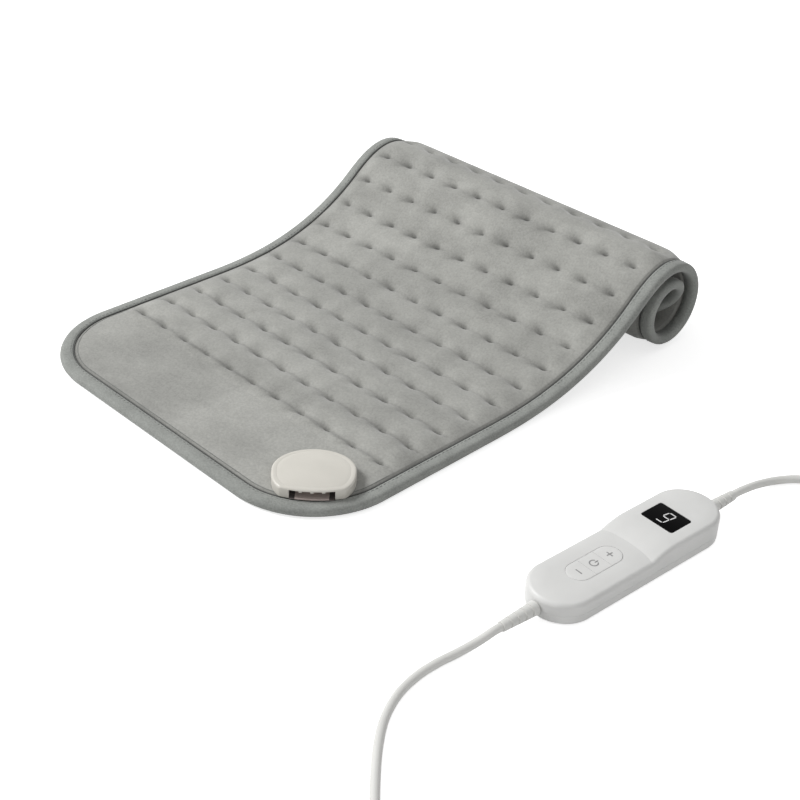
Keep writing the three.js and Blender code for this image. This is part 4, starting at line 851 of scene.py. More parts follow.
def underRows(x, s, edgeHeight, middleHeight):
    # four places under each row: its two ends, and where the hollow for the felt begins
    rows = []
    for line, place in zip(x, s[:, 0]):
        outer = line[-1]
        inner = outer - math.copysign(plush["hollowEdge"], outer)
        hollow = fromEdge(numpy.array(0.0), place) > plush["hollowEdge"]
        middle = middleHeight if hollow else edgeHeight
        rows.append([
            (-outer, place, edgeHeight), (-inner, place, middle),
            (inner, place, middle), (outer, place, edgeHeight),
        ])
    return numpy.array(rows)


def makeTopCover():
    # swollen first, then made finer for the pinches
    x, s = coverGrid(plush["inset"])
    height = quiltHeight(x, s)
    flat = numpy.stack([x, s, height], axis=2)
    worked = swell(x, s, height).reshape(flat.shape)
    lowest = plush["dimpleHeight"] - plush["overshoot"]
    highest = plush["puffHeight"] + plush["overshoot"]
    risen = numpy.clip(worked[:, :, 2], lowest, highest)
    flat = numpy.stack([worked[:, :, 0], worked[:, :, 1], risen], axis=2)
    x, s, flat = finer(x), finer(s), finer(flat)
    depth, shares = pinched(x, s)
    flat[:, :, 2] = numpy.maximum(flat[:, :, 2] - depth, plush["leastHeight"])
    under = underRows(x, s, plush["underEdge"], plush["underMiddle"])
    return coverPiece("plushTop", flat, under, shares, plushGrey)


# Plush back cover, with a shallow pucker under each tuft, and painted shade in each pucker
back = {
    "inset": 0.0033,
    "topHeight": 0.0020,
    "edgeLift": 0.0010,
    "edgeStep": 0.0022,
    "pucker": 0.0009,
    "puckerRadius": 0.0055,
    "puckerShade": 0.5,
}


def makeBackCover():
    x, s = coverGrid(back["inset"])
    edge = fromEdge(x, s)
    clear = plush["lip"] + back["edgeStep"]
    height = back["edgeLift"] * (1 - fadeIn(edge, plush["lip"], clear))
    for tuftX, tuftS in tuftPlaces():
        near = numpy.hypot(x - tuftX, s - tuftS) / back["puckerRadius"]
        height = height + back["pucker"] * numpy.exp(-near ** 2)
    flat = numpy.stack([x, s, height], axis=2)[:, ::-1, :]
    x, s = x[:, ::-1], s[:, ::-1]
    under = underRows(x, s, back["topHeight"], back["topHeight"])
    # painted shade: the pile is darkened in each pucker, the deeper the darker
    shares = back["puckerShade"] * height / back["pucker"] * (edge > clear)
    return coverPiece("plushBack", flat, under, shares[:, ::-1], plushBack)


# Binding: a folded strip, its two lips open inwards where the covers go in
binding = {
    "width": 0.0090,
    "height": 0.0069,
    "wall": 0.0007,
    "side": 0.0022,
    "floor": 0.0007,
    "arcPoints": 9,
    "station": 0.0026,
    "weltRadius": 0.00065,
    "weltInset": 0.0096,
    "weltHeight": 0.0062,
    "hemRadius": 0.00032,
    "hemInset": 0.0124,
    "hemHeight": 0.0068,
    "threadSides": 6,
    "lipDrop": 0.0004,
    "crownHeights": (0.0001, 0.0002),
    "crownInsets": (0.0005, 0.0022),
    "fullness": 0.85,
    "pucker": 0.00022,
    "puckered": range(5, 9),
    "seed": 11,
}


def outlineStations():
    # places round the pad's outline: a point on it, and the direction inwards
    r = pad["cornerRadius"]
    w, l = pad["halfWidth"] - r, pad["length"]
    stations = []
    arcSteps = math.ceil(r * math.pi / 2 / binding["station"])

    def corner(cx, cy, start):
        for k in range(arcSteps):
            angle = start + math.pi / 2 * k / arcSteps
            c, n = math.cos(angle), math.sin(angle)
            stations.append((cx + r * c, cy + r * n, -c, -n))

    def side(x0, s0, x1, s1, inX, inS):
        length = math.hypot(x1 - x0, s1 - s0)
        steps = math.ceil(length / binding["station"])
        for k in range(steps):
            t = k / steps
            stations.append((x0 + (x1 - x0) * t, s0 + (s1 - s0) * t, inX, inS))

    corner(w, r, -math.pi / 2)
    side(pad["halfWidth"], r, pad["halfWidth"], l - r, -1, 0)
    corner(w, l - r, 0)
    side(w, l, -w, l, 0, -1)
    corner(-w, l - r, math.pi / 2)
    side(-pad["halfWidth"], l - r, -pad["halfWidth"], r, 1, 0)
    corner(-w, r, math.pi)
    side(-w, 0, w, 0, 0, 1)
    return stations


def bindingSection():
    # the channel that holds the covers, its upper lip, then a rounded outside
    width, height, wall = binding["width"], binding["height"], binding["wall"]
    side, floor = binding["side"], binding["floor"]
    crownLow, crown = binding["crownHeights"]
    easeIn, crownIn = binding["crownInsets"]
    section = [(width, floor), (side, floor), (side, height - wall), (width, height - wall)]
    section += [(width, height - binding["lipDrop"]), (width - easeIn, height)]
    section += [(width - crownIn, height + crownLow), ((width + height / 2) / 2, height + crown)]
    for k in range(binding["arcPoints"]):
        angle = math.pi / 2 + math.pi * k / (binding["arcPoints"] - 1)
        outwards = height / 2 * binding["fullness"] * (1 + math.cos(angle))
        section.append((outwards, height / 2 + height / 2 * math.sin(angle)))
    section.append((width, 0))
    return section


def makeWelt(name, size, inset, height, material):
    # thread laid round the pad, so far in from its edge; the dark welt at the binding's lip is painted
    # shade, a dark thread that stands for the shadow in the groove there
    stations = outlineStations()
    count, sides = len(stations), binding["threadSides"]
    flat = []
    for x, s, inX, inS in stations:
        for k in range(sides):
            angle = 2 * math.pi * k / sides
            away = inset + size * math.cos(angle)
            flat.append((x + inX * away, s + inS * away, height - size * math.sin(angle)))
    faces = [
        (i * sides + k, ((i + 1) % count) * sides + k,
         ((i + 1) % count) * sides + (k + 1) % sides, i * sides + (k + 1) % sides)
        for i in range(count) for k in range(sides)
    ]
    onPad(meshPiece(name, lay(numpy.array(flat)), faces, material))


def makeBinding():
    # the section is carried round the pad, its rounded outside a little wavy
    stations = outlineStations()
    section = bindingSection()
    count, n = len(stations), len(section)
    dice = numpy.random.default_rng(binding["seed"])
    waves = numpy.convolve(numpy.tile(dice.uniform(-1, 1, count), 3), numpy.ones(3) / 3, "same")
    waves = waves[count:2 * count]
    flat = []
    for (x, s, inX, inS), wave in zip(stations, waves):
        for k, (inset, height) in enumerate(section):
            lifted = height + (binding["pucker"] * wave if k in binding["puckered"] else 0)
            flat.append((x + inX * inset, s + inS * inset, lifted))
    faces = [
        (i * n + k, i * n + (k + 1) % n, ((i + 1) % count) * n + (k + 1) % n, ((i + 1) % count) * n + k)
        for i in range(count) for k in range(n)
    ]
    return meshPiece("bindingStrip", lay(numpy.array(flat)), faces, bindingGrey)


# Stitches along the binding's lip, each a short rounded thread
stitch = {
    "inset": 0.0074,
    "length": 0.0024,
    "pitch": 0.0034,
    "radius": 0.00028,
    "height": 0.0070,
    "sides": 6,
    "rings": ((-0.5, 0.35), (-0.36, 1), (0.36, 1), (0.5, 0.35)),
}


def makeStitches():
    path = [(x + inX * stitch["inset"], s + inS * stitch["inset"]) for x, s, inX, inS in outlineStations()]
    path = numpy.array(path + [path[0]])
    lengths = numpy.concatenate([[0], numpy.cumsum(numpy.hypot(*numpy.diff(path, axis=0).T))])
    count, sides, last = int(lengths[-1] / stitch["pitch"]), stitch["sides"], len(stitch["rings"]) - 1
    flat, faces = [], []
    for i in range(count):
        middle = (i + 0.5) * lengths[-1] / count
        ends = [middle - stitch["length"] / 2, middle + stitch["length"] / 2]
        (x0, x1), (s0, s1) = (numpy.interp(ends, lengths, path[:, k]) for k in (0, 1))
        along = numpy.array([x1 - x0, s1 - s0])
        aside = numpy.array([along[1], -along[0]]) / numpy.hypot(*along)
        centre = numpy.array([x0 + x1, s0 + s1]) / 2
        base = len(flat)
        for share, size in stitch["rings"]:
            radius = stitch["radius"] * size
            middleHeight = stitch["height"] - stitch["radius"] + radius
            for k in range(sides):
                angle = 2 * math.pi * k / sides
                place = centre + along * share + aside * math.cos(angle) * radius
                flat.append((place[0], place[1], middleHeight + radius * math.sin(angle)))
        for ring in range(last):
            for k in range(sides):
                a, b = base + ring * sides + k, base + ring * sides + (k + 1) % sides
                faces.append((a, a + sides, b + sides, b))
        faces.append(tuple(base + k for k in range(sides)))
        faces.append(tuple(base + last * sides + k for k in range(sides - 1, -1, -1)))
    return meshPiece("bindingStitches", lay(numpy.array(flat)), faces, bindingGrey)


topPiece = onPad(makeTopCover(), "plush_top_cover")
onPad(makeBackCover(), "plush_back_cover")
onPad(makeBinding(), "edge_binding")
# painted shade: the welt is a dark thread that stands for the shadow in the groove at the binding's lip
makeWelt("bindingShadowWelt", binding["weltRadius"], binding["weltInset"], binding["weltHeight"], weltShadowGrey)
makeWelt("hemThread", binding["hemRadius"], binding["hemInset"], binding["hemHeight"], hemGrey)
onPad(makeStitches())
print("pad sewn")


# Hand tools for the moulded pieces, and how closely they pick out what they work on
close = {
    "flat": 1e-6,
    "row": 2e-6,
    "line": 1e-5,
    "ramp": 2e-5,
    "clear": 1e-4,
    "facing": 0.9,
}
cutBeyond = 0.001


def selectOnly(piece):
    bpy.ops.object.select_all(action="DESELECT")
    piece.select_set(True)
    bpy.context.view_layer.objects.active = piece


def applyAll(piece):
    selectOnly(piece)
    for modifier in list(piece.modifiers):
        bpy.ops.object.modifier_apply(modifier=modifier.name)
    bpy.ops.object.transform_apply(location=True, rotation=True, scale=True)


def added(name, primitive, **sizes):
    # a new piece from one of Blender's own shapes
    bpy.ops.object.select_all(action="DESELECT")
    primitive(**sizes)
    piece = bpy.context.object
    piece.name = name
    applyAll(piece)
    return piece


def carry(piece, place):
    # from a frame of the piece's own to its place in the object
    selectOnly(piece)
    piece.matrix_world = place @ piece.matrix_world
    applyAll(piece)


def smoothed(piece, degrees=35):
    selectOnly(piece)
    bpy.ops.object.shade_smooth_by_angle(angle=math.radians(degrees))


def coat(piece, material):
    piece.data.materials.clear()
    piece.data.materials.append(material)


def startEditing(piece, kind="VERT"):
    selectOnly(piece)
    bpy.ops.object.mode_set(mode="EDIT")
    bpy.ops.mesh.select_mode(type=kind)
    bpy.ops.mesh.select_all(action="DESELECT")


def endEditing():
    bpy.ops.object.mode_set(mode="OBJECT")


def chooseAll():
    bpy.ops.mesh.select_all(action="SELECT")


def choose(piece, kind, wanted):
    # selects, in edit mode, the vertices, edges or faces that the test takes
    bpy.ops.mesh.select_all(action="DESELECT")
    work = bmesh.from_edit_mesh(piece.data)
    for item in {"verts": work.verts, "edges": work.edges, "faces": work.faces}[kind]:
        if wanted(item):
            item.select_set(True)
    work.select_flush_mode()
    bmesh.update_edit_mesh(piece.data)


def chooseVertices(piece, wanted):
    choose(piece, "verts", lambda vertex: wanted(vertex.co))


def chooseFlat(piece, height, upwards):
    choose(piece, "faces", lambda face: (
        abs(face.calc_center_median().z - height) < close["flat"]
        and face.normal.z * upwards > close["facing"]))


def drawOut(rise, across=1, along=1):
    # carries the chosen face on by so much, resized about the Z axis
    bpy.ops.mesh.extrude_region_move(TRANSFORM_OT_translate={"value": (0, 0, rise)})
    bpy.ops.transform.resize(value=(across, along, 1), center_override=(0, 0, 0))


def turnOutwards():
    chooseAll()
    bpy.ops.mesh.normals_make_consistent(inside=False)


def insetRings(rings):
    # insets the chosen face through a list of how far in and how far out each ring lies
    inset, rise = 0, 0
    for nextInset, nextRise in rings:
        bpy.ops.mesh.inset(thickness=nextInset - inset, depth=nextRise - rise, use_even_offset=True)
        inset, rise = nextInset, nextRise


def quarterRound(radius, steps):
    angles = [math.pi / 2 * (k + 1) / steps for k in range(steps)]
    return [(radius * (1 - math.cos(a)), radius * math.sin(a)) for a in angles]


def merge(piece, near):
    startEditing(piece)
    chooseAll()
    bpy.ops.mesh.remove_doubles(threshold=near)
    endEditing()


def carve(piece, tool, kind="DIFFERENCE"):
    cutter = piece.modifiers.new("carve", "BOOLEAN")
    cutter.operation = kind
    cutter.solver = "EXACT"
    cutter.object = tool
    selectOnly(piece)
    bpy.ops.object.modifier_apply(modifier=cutter.name)
    bpy.data.objects.remove(tool, do_unlink=True)


def roundEdges(piece, width, segments, degrees):
    bevel = piece.modifiers.new("roundEdges", "BEVEL")
    bevel.width = width
    bevel.segments = segments
    bevel.limit_method = "ANGLE"
    bevel.angle_limit = math.radians(degrees)
    bevel.use_clamp_overlap = True
    applyAll(piece)


def finished(piece, material, replaced, degrees=35, body=mainBody):
    applyAll(piece)
    smoothed(piece, degrees)
    coat(piece, material)
    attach(piece, body)
    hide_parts(replaced)
    return piece


def stadiumBlock(name, length, width, bottom, top, corners=96):
    # a racetrack: a disc whose halves are pulled apart along Y, then raised
    track = added(
        name, bpy.ops.mesh.primitive_circle_add, vertices=corners, radius=width / 2, fill_type="NGON",
        location=(0, 0, bottom), rotation=(0, 0, math.pi / corners))
    startEditing(track)
    for side in (1, -1):
        chooseVertices(track, lambda co: co.y * side > 0)
        bpy.ops.transform.translate(value=(0, side * (length - width) / 2, 0))
    endEditing()
    startEditing(track, "FACE")
    chooseAll()
    drawOut(top - bottom)
    turnOutwards()
    endEditing()
    return track


def block(name, width, length, bottom, top, x=0, y=0):
    return added(
        name, bpy.ops.mesh.primitive_cube_add, size=1,
        location=(x, y, (bottom + top) / 2), scale=(width, length, top - bottom))


def post(name, radius, bottom, top, x, y, sides=32):
    return added(
        name, bpy.ops.mesh.primitive_cylinder_add, vertices=sides, radius=radius, depth=top - bottom,
        location=(x, y, (bottom + top) / 2))


def roundedPlate(name, width, length, corner, bottom, top, y=0, steps=8):
    plate = block(name, width, length, bottom, top, 0, y)
    startEditing(plate, "EDGE")
    choose(plate, "edges", lambda edge: abs(edge.verts[0].co.z - edge.verts[1].co.z) > close["line"])
    bpy.ops.mesh.bevel(offset=corner, segments=steps, affect="EDGES")
    endEditing()
    return plate


def turned(name, profile, sides):
    # a turned piece along Z: a circle drawn out through a list of radii and heights
    radius, height = profile[0]
    piece = added(
        name, bpy.ops.mesh.primitive_circle_add, vertices=sides, radius=radius, fill_type="NGON",
        location=(0, 0, height))
    startEditing(piece, "FACE")
    chooseAll()
    for nextRadius, nextHeight in profile[1:]:
        drawOut(nextHeight - height, nextRadius / radius, nextRadius / radius)
        radius, height = nextRadius, nextHeight
    turnOutwards()
    endEditing()
    return piece


# Controller housing: two rounded trays, the upper one stepping up to the display in a bowed ramp
housing = {
    "length": 0.1443,
    "width": 0.042,
    "low": 0.0145,
    "high": 0.0185,
    "rampStart": 0.003,
    "rampLength": 0.020,
    "rampBow": 0.003,
    "rampRows": 10,
    "crown": 0.0006,
    "crownInset": 0.010,
    "crownRings": (0.0045, 0.0060, 0.0080, 0.0100, 0.0135, 0.0165, 0.0195),
    "topRounding": 0.0032,
    "bottomRounding": 0.0025,
    "roundingSteps": 8,
    "split": 0.0065,
    "partingGap": 0.00005,
    "wall": 0.0018,
    "screwX": 0.0125,
    "screwY": 0.04965,
    "screwPost": 0.0036,
    "screwHead": 0.0029,
    "screwDepth": 0.0026,
    "postFoot": 0.0009,
    "reliefHole": 0.0034,
    "mergeCuts": 0.00006,
}
keypad = {
    "centre": -0.02665,
    "length": 0.040,
    "width": 0.016,
    "pitch": 0.0127,
    "gap": 0.00016,
    "slit": 0.00016,
    "foot": 0.0115,
    "top": 0.01525,
    "edge": 0.00045,
    "edgeSteps": 4,
    "topInset": 0.003,
    "opening": (0.010, 0.020),
    "corners": 80,
}
display = {
    "centre": 0.03395,
    "width": 0.024,
    "length": 0.0187,
    "corner": 0.0018,
    "bottom": 0.0179,
    "top": 0.0189,
    "gap": 0.00012,
    "edge": 0.00018,
    "pocketTop": 0.024,
}
housingFrame = (
    Matrix.Translation((*cord["housingCentre"], 0)) @ Matrix.Rotation(cord["housingTurn"], 4, "Z"))


def rampRise(share):
    return (housing["high"] - housing["low"]) * (1 - (1 - share) ** 2)


def crownRise(inset):
    share = min((inset - housing["topRounding"]) / (housing["crownInset"] - housing["topRounding"]), 1)
    return housing["crown"] * (1 - (1 - share) ** 2)


def raiseRamp(shell, foot):
    # rows of edges across the shell are bowed back towards the keys, then lifted one by one
    start, length, bow = housing["rampStart"], housing["rampLength"], housing["rampBow"]
    half, count = housing["width"] / 2, housing["rampRows"]
    places = [start + length * k / count for k in range(count + 1)]
    startEditing(shell)
    for place in places:
        chooseAll()
        bpy.ops.mesh.bisect(plane_co=(0, place, 0), plane_no=(0, 1, 0))
    for place in places:
        work = bmesh.from_edit_mesh(shell.data)
        inRow = [abs(v.co.x) for v in work.verts if abs(v.co.y - place) < close["line"]]
        for across in sorted({round(x, 6) for x in inRow}):
            chooseVertices(shell, lambda co: (
                abs(co.y - place) < close["line"] and abs(abs(co.x) - across) < close["row"]))
            bpy.ops.transform.translate(value=(0, -bow * (across / half) ** 2, 0))

    def lift(wanted, rise):
        chooseVertices(shell, lambda co: (
            co.z > foot + close["clear"] and wanted(co.y + bow * (co.x / half) ** 2)))
        bpy.ops.transform.translate(value=(0, 0, rise))

    for k, place in enumerate(places[1:]):
        lift(lambda along: abs(along - place) < close["ramp"], rampRise((k + 1) / count))
    lift(lambda along: along > places[-1] + close["clear"], rampRise(1))
    endEditing()


def hollowOut(piece, height, upwards):
    # takes away the open side, then gives the skin its wall
    startEditing(piece, "FACE")
    chooseFlat(piece, height, upwards)
    bpy.ops.mesh.delete(type="FACE")
    endEditing()
    wall = piece.modifiers.new("wall", "SOLIDIFY")
    wall.thickness = housing["wall"]
    wall.offset = -1
    wall.use_even_offset = True
    applyAll(piece)


def reliefBore():
    # through both ends of the housing, along its split
    bore = post("reliefBore", housing["reliefHole"], -housing["length"], housing["length"], 0, 0)
    carry(bore, Matrix.Translation((0, 0, housing["split"])) @ Matrix.Rotation(math.pi / 2, 4, "X"))
    return bore


def makeTopShell():
    foot = housing["split"] + housing["partingGap"]
    shoulder = housing["low"] - housing["topRounding"]
    shell = stadiumBlock("controllerTop", housing["length"], housing["width"], foot, shoulder)
    startEditing(shell, "FACE")
    chooseFlat(shell, shoulder, 1)
    rings = quarterRound(housing["topRounding"], housing["roundingSteps"])
    insetRings(rings + [
        (inset, housing["topRounding"] + crownRise(inset)) for inset in housing["crownRings"]])
    endEditing()
    raiseRamp(shell, foot)
    hollowOut(shell, foot, -1)
    gap = 2 * keypad["gap"]
    opening = stadiumBlock(
        "keyOpening", keypad["length"] + gap, keypad["width"] + gap, *keypad["opening"], keypad["corners"])
    opening.location.y = keypad["centre"]
    applyAll(opening)
    carve(shell, opening)
    gap = 2 * display["gap"]
    carve(shell, roundedPlate(
        "displayPocket", display["width"] + gap, display["length"] + gap,
        display["corner"] + display["gap"], display["bottom"] - display["gap"], display["pocketTop"],
        display["centre"]))
    carve(shell, reliefBore())
    merge(shell, housing["mergeCuts"])
    return shell


def makeTray():
    # four posts stand in the tray, each with room below for a screw's head
    rim = housing["split"] - housing["partingGap"]
    floor = housing["bottomRounding"]
    tray = stadiumBlock("controllerBottom", housing["length"], housing["width"], floor, rim)
    startEditing(tray, "FACE")
    chooseFlat(tray, floor, -1)
    insetRings(quarterRound(floor, housing["roundingSteps"]))
    endEditing()
    hollowOut(tray, rim, 1)
    for sideX in (-1, 1):
        for sideY in (-1, 1):
            x, y = sideX * housing["screwX"], sideY * housing["screwY"]
            carve(tray, post("screwPost", housing["screwPost"], housing["postFoot"], rim, x, y), "UNION")
            carve(tray, post("screwRoom", housing["screwHead"], -cutBeyond, housing["screwDepth"], x, y))
    carve(tray, reliefBore())
    merge(tray, housing["mergeCuts"])
    return tray


def makeKey(name, place):
    # one third of the racetrack, cut from a whole one with a rounded top
    top = keypad["top"] - keypad["edge"]
    key = stadiumBlock(
        name, keypad["length"], keypad["width"], keypad["foot"], top, keypad["corners"])
    startEditing(key, "FACE")
    chooseFlat(key, top, 1)
    rounding = quarterRound(keypad["edge"], keypad["edgeSteps"])
    insetRings(rounding + [(keypad["topInset"], keypad["edge"])])
    for side in (-1, 1):
        if place * side < 1:
            chooseAll()
            line = side * (keypad["pitch"] - keypad["slit"]) / 2 + place * keypad["pitch"]
            bpy.ops.mesh.bisect(
                plane_co=(0, line, 0), plane_no=(0, side, 0), use_fill=True, clear_outer=True)
    endEditing()
    key.location.y = keypad["centre"]
    return key


def makeController():
    for shell, node, degrees in (
            (makeTopShell(), "controller_top_shell", 16), (makeTray(), "controller_bottom_shell", 30)):
        carry(shell, housingFrame)
        finished(shell, plastic["housingWhite"], node, degrees)
    for place, name in ((-1, "minus"), (0, "power"), (1, "plus")):
        key = makeKey(name + "Key", place)
        carry(key, housingFrame)
        finished(
            key, plastic["keyWhite"], name + "_button", degrees=40,
            body=name + "_button_body")
    glass = roundedPlate(
        "displayGlass", display["width"], display["length"], display["corner"],
        display["bottom"], display["top"], display["centre"])
    roundEdges(glass, display["edge"], segments=3, degrees=60)
    carry(glass, housingFrame)
    finished(glass, plastic["windowBlack"], "display_window")


makeController()
print("controller housing, keys and display made")


# Strain reliefs: a tapered sleeve turned from rings, with grooves where the real sleeve bends
relief = {
    "length": 0.026,
    "root": 0.0044,
    "tip": 0.0032,
    "neck": 0.0031,
    "flange": 0.0040,
    "flangeThickness": 0.0016,
    "start": 0.00441,
    "grooves": 4,
    "grooveDepth": 0.0006,
    "grooveWidth": 0.0013,
    "grooveFloor": 0.72,
    "rootEase": 0.0003,
    "tipEase": 0.0004,
    "step": 1e-5,
    "sides": 40,
}


def reliefProfile(flanged):
    root, tip, length, step = (relief[k] for k in ("root", "tip", "length", "step"))
    flange, neck, thick, ease = (relief[k] for k in ("flange", "neck", "flangeThickness", "rootEase"))
    start = relief["start"] if flanged else 0
    profile = [(flange, 0), (flange, thick), (neck, thick + step), (neck, start)] if flanged else []
    profile += [(root - ease, start + step), (root, start + ease)]
    half = relief["grooveWidth"] / 2
    floor = half * relief["grooveFloor"]
    for k in range(relief["grooves"]):
        middle = length * (k + 1) / (relief["grooves"] + 1)
        for offset, depth in ((-half, 0), (-floor, 1), (floor, 1), (half, 0)):
            z = middle + offset
            radius = root - (root - tip) * z / length
            profile.append((radius - depth * relief["grooveDepth"], start + z))
    ease = relief["tipEase"]
    return profile + [(tip, start + length - ease), (tip - ease, start + length)]


def makeReliefs():
    base = cord["reliefTip"] - relief["length"] - relief["start"]
    for side, name, node in ((-1, "mainsRelief", "mains"), (1, "padLeadRelief", "pad_lead")):
        sleeve = turned(name, reliefProfile(True), relief["sides"])
        carry(sleeve, housingFrame @ Matrix.Translation((0, side * base, housing["split"]))
              @ Matrix.Rotation(-side * math.pi / 2, 4, "X"))
        finished(sleeve, plastic["cordRubber"], node + "_strain_relief")
    for lead, name, node in ((mainsLead, "plugRelief", "plug"), (padLead, "connectorRelief", "connector")):
        sleeve = turned(name, reliefProfile(False), relief["sides"])
        carry(sleeve, cordEnd(lead, cord["seat"] + relief["length"]) @ Matrix.Rotation(math.pi / 2, 4, "X"))
        finished(sleeve, plastic["cordRubber"], node + "_strain_relief")


makeReliefs()
print("strain reliefs turned")


# Socket hood: a low crowned cover, its bowed front open in a mouth with three teeth
hood = {
    "place": (0.10982, -0.04199),
    "turn": math.radians(-45),
    "radius": 0.0262,
    "backDepth": 0.0220,
    "frontReach": 0.0256,
    "frontDepth": 0.0198,
    "frontBow": 0.0030,
    "fullness": 2.6,
    "corners": 112,
    "bottom": 0.0073,
    "top": 0.0144,
    "rounding": 0.0014,
    "roundingSteps": 6,
    "wall": 0.0022,
    "crown": 0.0009,
    "groove": ((0.97, 0.00002), (0.930, 0.00002), (0.916, -0.00006), (0.902, 0.00004)),
    "crownScales": (0.80, 0.65, 0.50, 0.35, 0.20, 0.08),
    "mouthWidth": 0.0280,
    "mouthRoof": 0.0132,
    "mouthInside": 0.0058,
    "toothPitch": 0.0070,
    "toothWidth": 0.0028,
    "toothDepth": 0.0016,
    "toothHeight": 0.0011,
    "toothSeat": 0.0003,
    "toothRoot": 0.0005,
    "toothTaper": 0.66,
    "slotPlace": 0.0121,
    "slotWidth": 0.0034,
    "slotFloor": 0.0079,
    "slotStart": 0.0100,
    # height up to which the slots are darkened with painted shade
    "slotShadeTop": 0.00855,
    "tongueEdge": 0.00025,
    "cutFoot": 0.005,
    "slotTop": 0.012,
    "cutReach": 0.03,
    "mergeCuts": 0.00003,
    "mergeTongue": 0.000002,
    "flattened": math.radians(1.2),
}
hoodFrame = Matrix.Translation((*hood["place"], 0)) @ Matrix.Rotation(hood["turn"], 4, "Z")


def bowAt(sideways):
    # how far forwards the hood's front lies
    full = hood["fullness"]
    corner = (1 - (hood["frontDepth"] / hood["frontReach"]) ** full) ** (1 / full)
    return hood["frontDepth"] + hood["frontBow"] * (1 - (sideways / (hood["radius"] * corner)) ** 2)


def hoodBlock(name, bottom, top, inset=0):
    # a disc with its back half drawn in and its front drawn out, row by row, to a fuller curve; then raised
    radius = hood["radius"]
    disc = added(
        name, bpy.ops.mesh.primitive_circle_add, vertices=hood["corners"], radius=radius,
        fill_type="NGON", location=(0, 0, bottom))
    rows = sorted({round(v.co.x, 6) for v in disc.data.vertices if v.co.x > close["clear"]}, reverse=True)
    startEditing(disc)

    def stretch(forward, aside):
        bpy.ops.transform.resize(value=(forward, aside, 1), center_override=(0, 0, 0))

    chooseVertices(disc, lambda co: co.x < 0)
    stretch(hood["backDepth"] / radius, 1)
    for row in rows:
        share = min(row / radius, 1)
        aside = math.sqrt(1 - share ** 2)
        sideways = radius * aside ** (2 / hood["fullness"])
        forward = min(hood["frontReach"] * share ** (2 / hood["fullness"]), bowAt(sideways))
        chooseVertices(disc, lambda co: abs(co.x - row) < close["row"])
        stretch(forward / row, sideways / (radius * aside) if aside > close["clear"] else 1)
    chooseAll()
    smaller = 1 - inset / hood["frontDepth"]
    stretch(smaller, smaller)
    bpy.ops.mesh.select_mode(type="FACE")
    chooseAll()
    drawOut(top - bottom)
    turnOutwards()
    endEditing()
    return disc


def makeTooth(sideways):
    depth, roof = hood["toothDepth"], hood["mouthRoof"]
    tooth = block(
        "tooth", depth, hood["toothWidth"], roof - hood["toothHeight"], roof + hood["toothRoot"],
        bowAt(sideways) - hood["toothSeat"] - depth / 2, sideways)
    startEditing(tooth)
    chooseVertices(tooth, lambda co: co.z < roof)
    bpy.ops.transform.resize(value=(1, hood["toothTaper"], 1))
    endEditing()
    return tooth


def makeHood():
    wallTop = hood["top"] - hood["rounding"]
    shell = hoodBlock("socketHood", hood["bottom"], wallTop)
    startEditing(shell, "FACE")
    chooseFlat(shell, wallTop, 1)
    insetRings(quarterRound(hood["rounding"], hood["roundingSteps"]))
    edge = hood["groove"][-1][0]
    rings = list(hood["groove"])
    rings += [(scale, hood["crown"] * (1 - (scale / edge) ** 2)) for scale in hood["crownScales"]]
    before, height = 1, 0
    for scale, rise in rings:
        drawOut(rise - height, scale / before, scale / before)
        before, height = scale, rise
    endEditing()
    carve(shell, hoodBlock("hollow", hood["cutFoot"], hood["top"] - hood["wall"], hood["wall"]))
    reach = hood["cutReach"] - hood["mouthInside"]
    carve(shell, block(
        "mouth", reach, hood["mouthWidth"], hood["cutFoot"], hood["mouthRoof"],
        hood["mouthInside"] + reach / 2))
    for k in (-1, 0, 1):
        carve(shell, makeTooth(k * hood["toothPitch"]), "UNION")
    merge(shell, hood["mergeCuts"])
    carry(shell, hoodFrame)
    finished(shell, plastic["socketCream"], "socket_cover", degrees=28)


def makeTongue():
    # the mouth's floor, from its solid, with a slot along each side for the connector's rails, its depth
    # darkened with painted shade
    tongue = newObject("socketTongue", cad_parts["socket_base"].data.copy())
    selectOnly(tongue)
    if tongue.data.has_custom_normals:
        bpy.ops.mesh.customdata_custom_splitnormals_clear()
    startEditing(tongue)
    chooseAll()
    bpy.ops.mesh.remove_doubles(threshold=hood["mergeTongue"])
    bpy.ops.mesh.dissolve_limited(angle_limit=hood["flattened"])
    endEditing()
    roundEdges(tongue, hood["tongueEdge"], segments=3, degrees=40)
    finished(tongue, plastic["socketInside"], "socket_base", degrees=40)
    for side in (-1, 1):
        slot = block(
            "railSlot", hood["cutReach"], hood["slotWidth"], hood["slotFloor"], hood["slotTop"],
            hood["slotStart"] + hood["cutReach"] / 2, side * hood["slotPlace"])
        carry(slot, hoodFrame)
        carve(tongue, slot)
    smoothed(tongue, 40)
    # painted shade: faces deep in each slot take the dark plastic
    tongue.data.materials.append(plastic["darkPlastic"])
    toHood = hoodFrame.inverted()
    for polygon in tongue.data.polygons:
        place = toHood @ polygon.center
        inSlot = abs(abs(place.y) - hood["slotPlace"]) < hood["slotWidth"] / 2 + close["clear"]
        inSlot = inSlot and place.x > hood["slotStart"] - close["clear"]
        inSlot = inSlot and hood["slotFloor"] - close["line"] < place.z < hood["slotShadeTop"]
        polygon.material_index = 1 if inSlot else 0


makeHood()
makeTongue()
print("socket made")


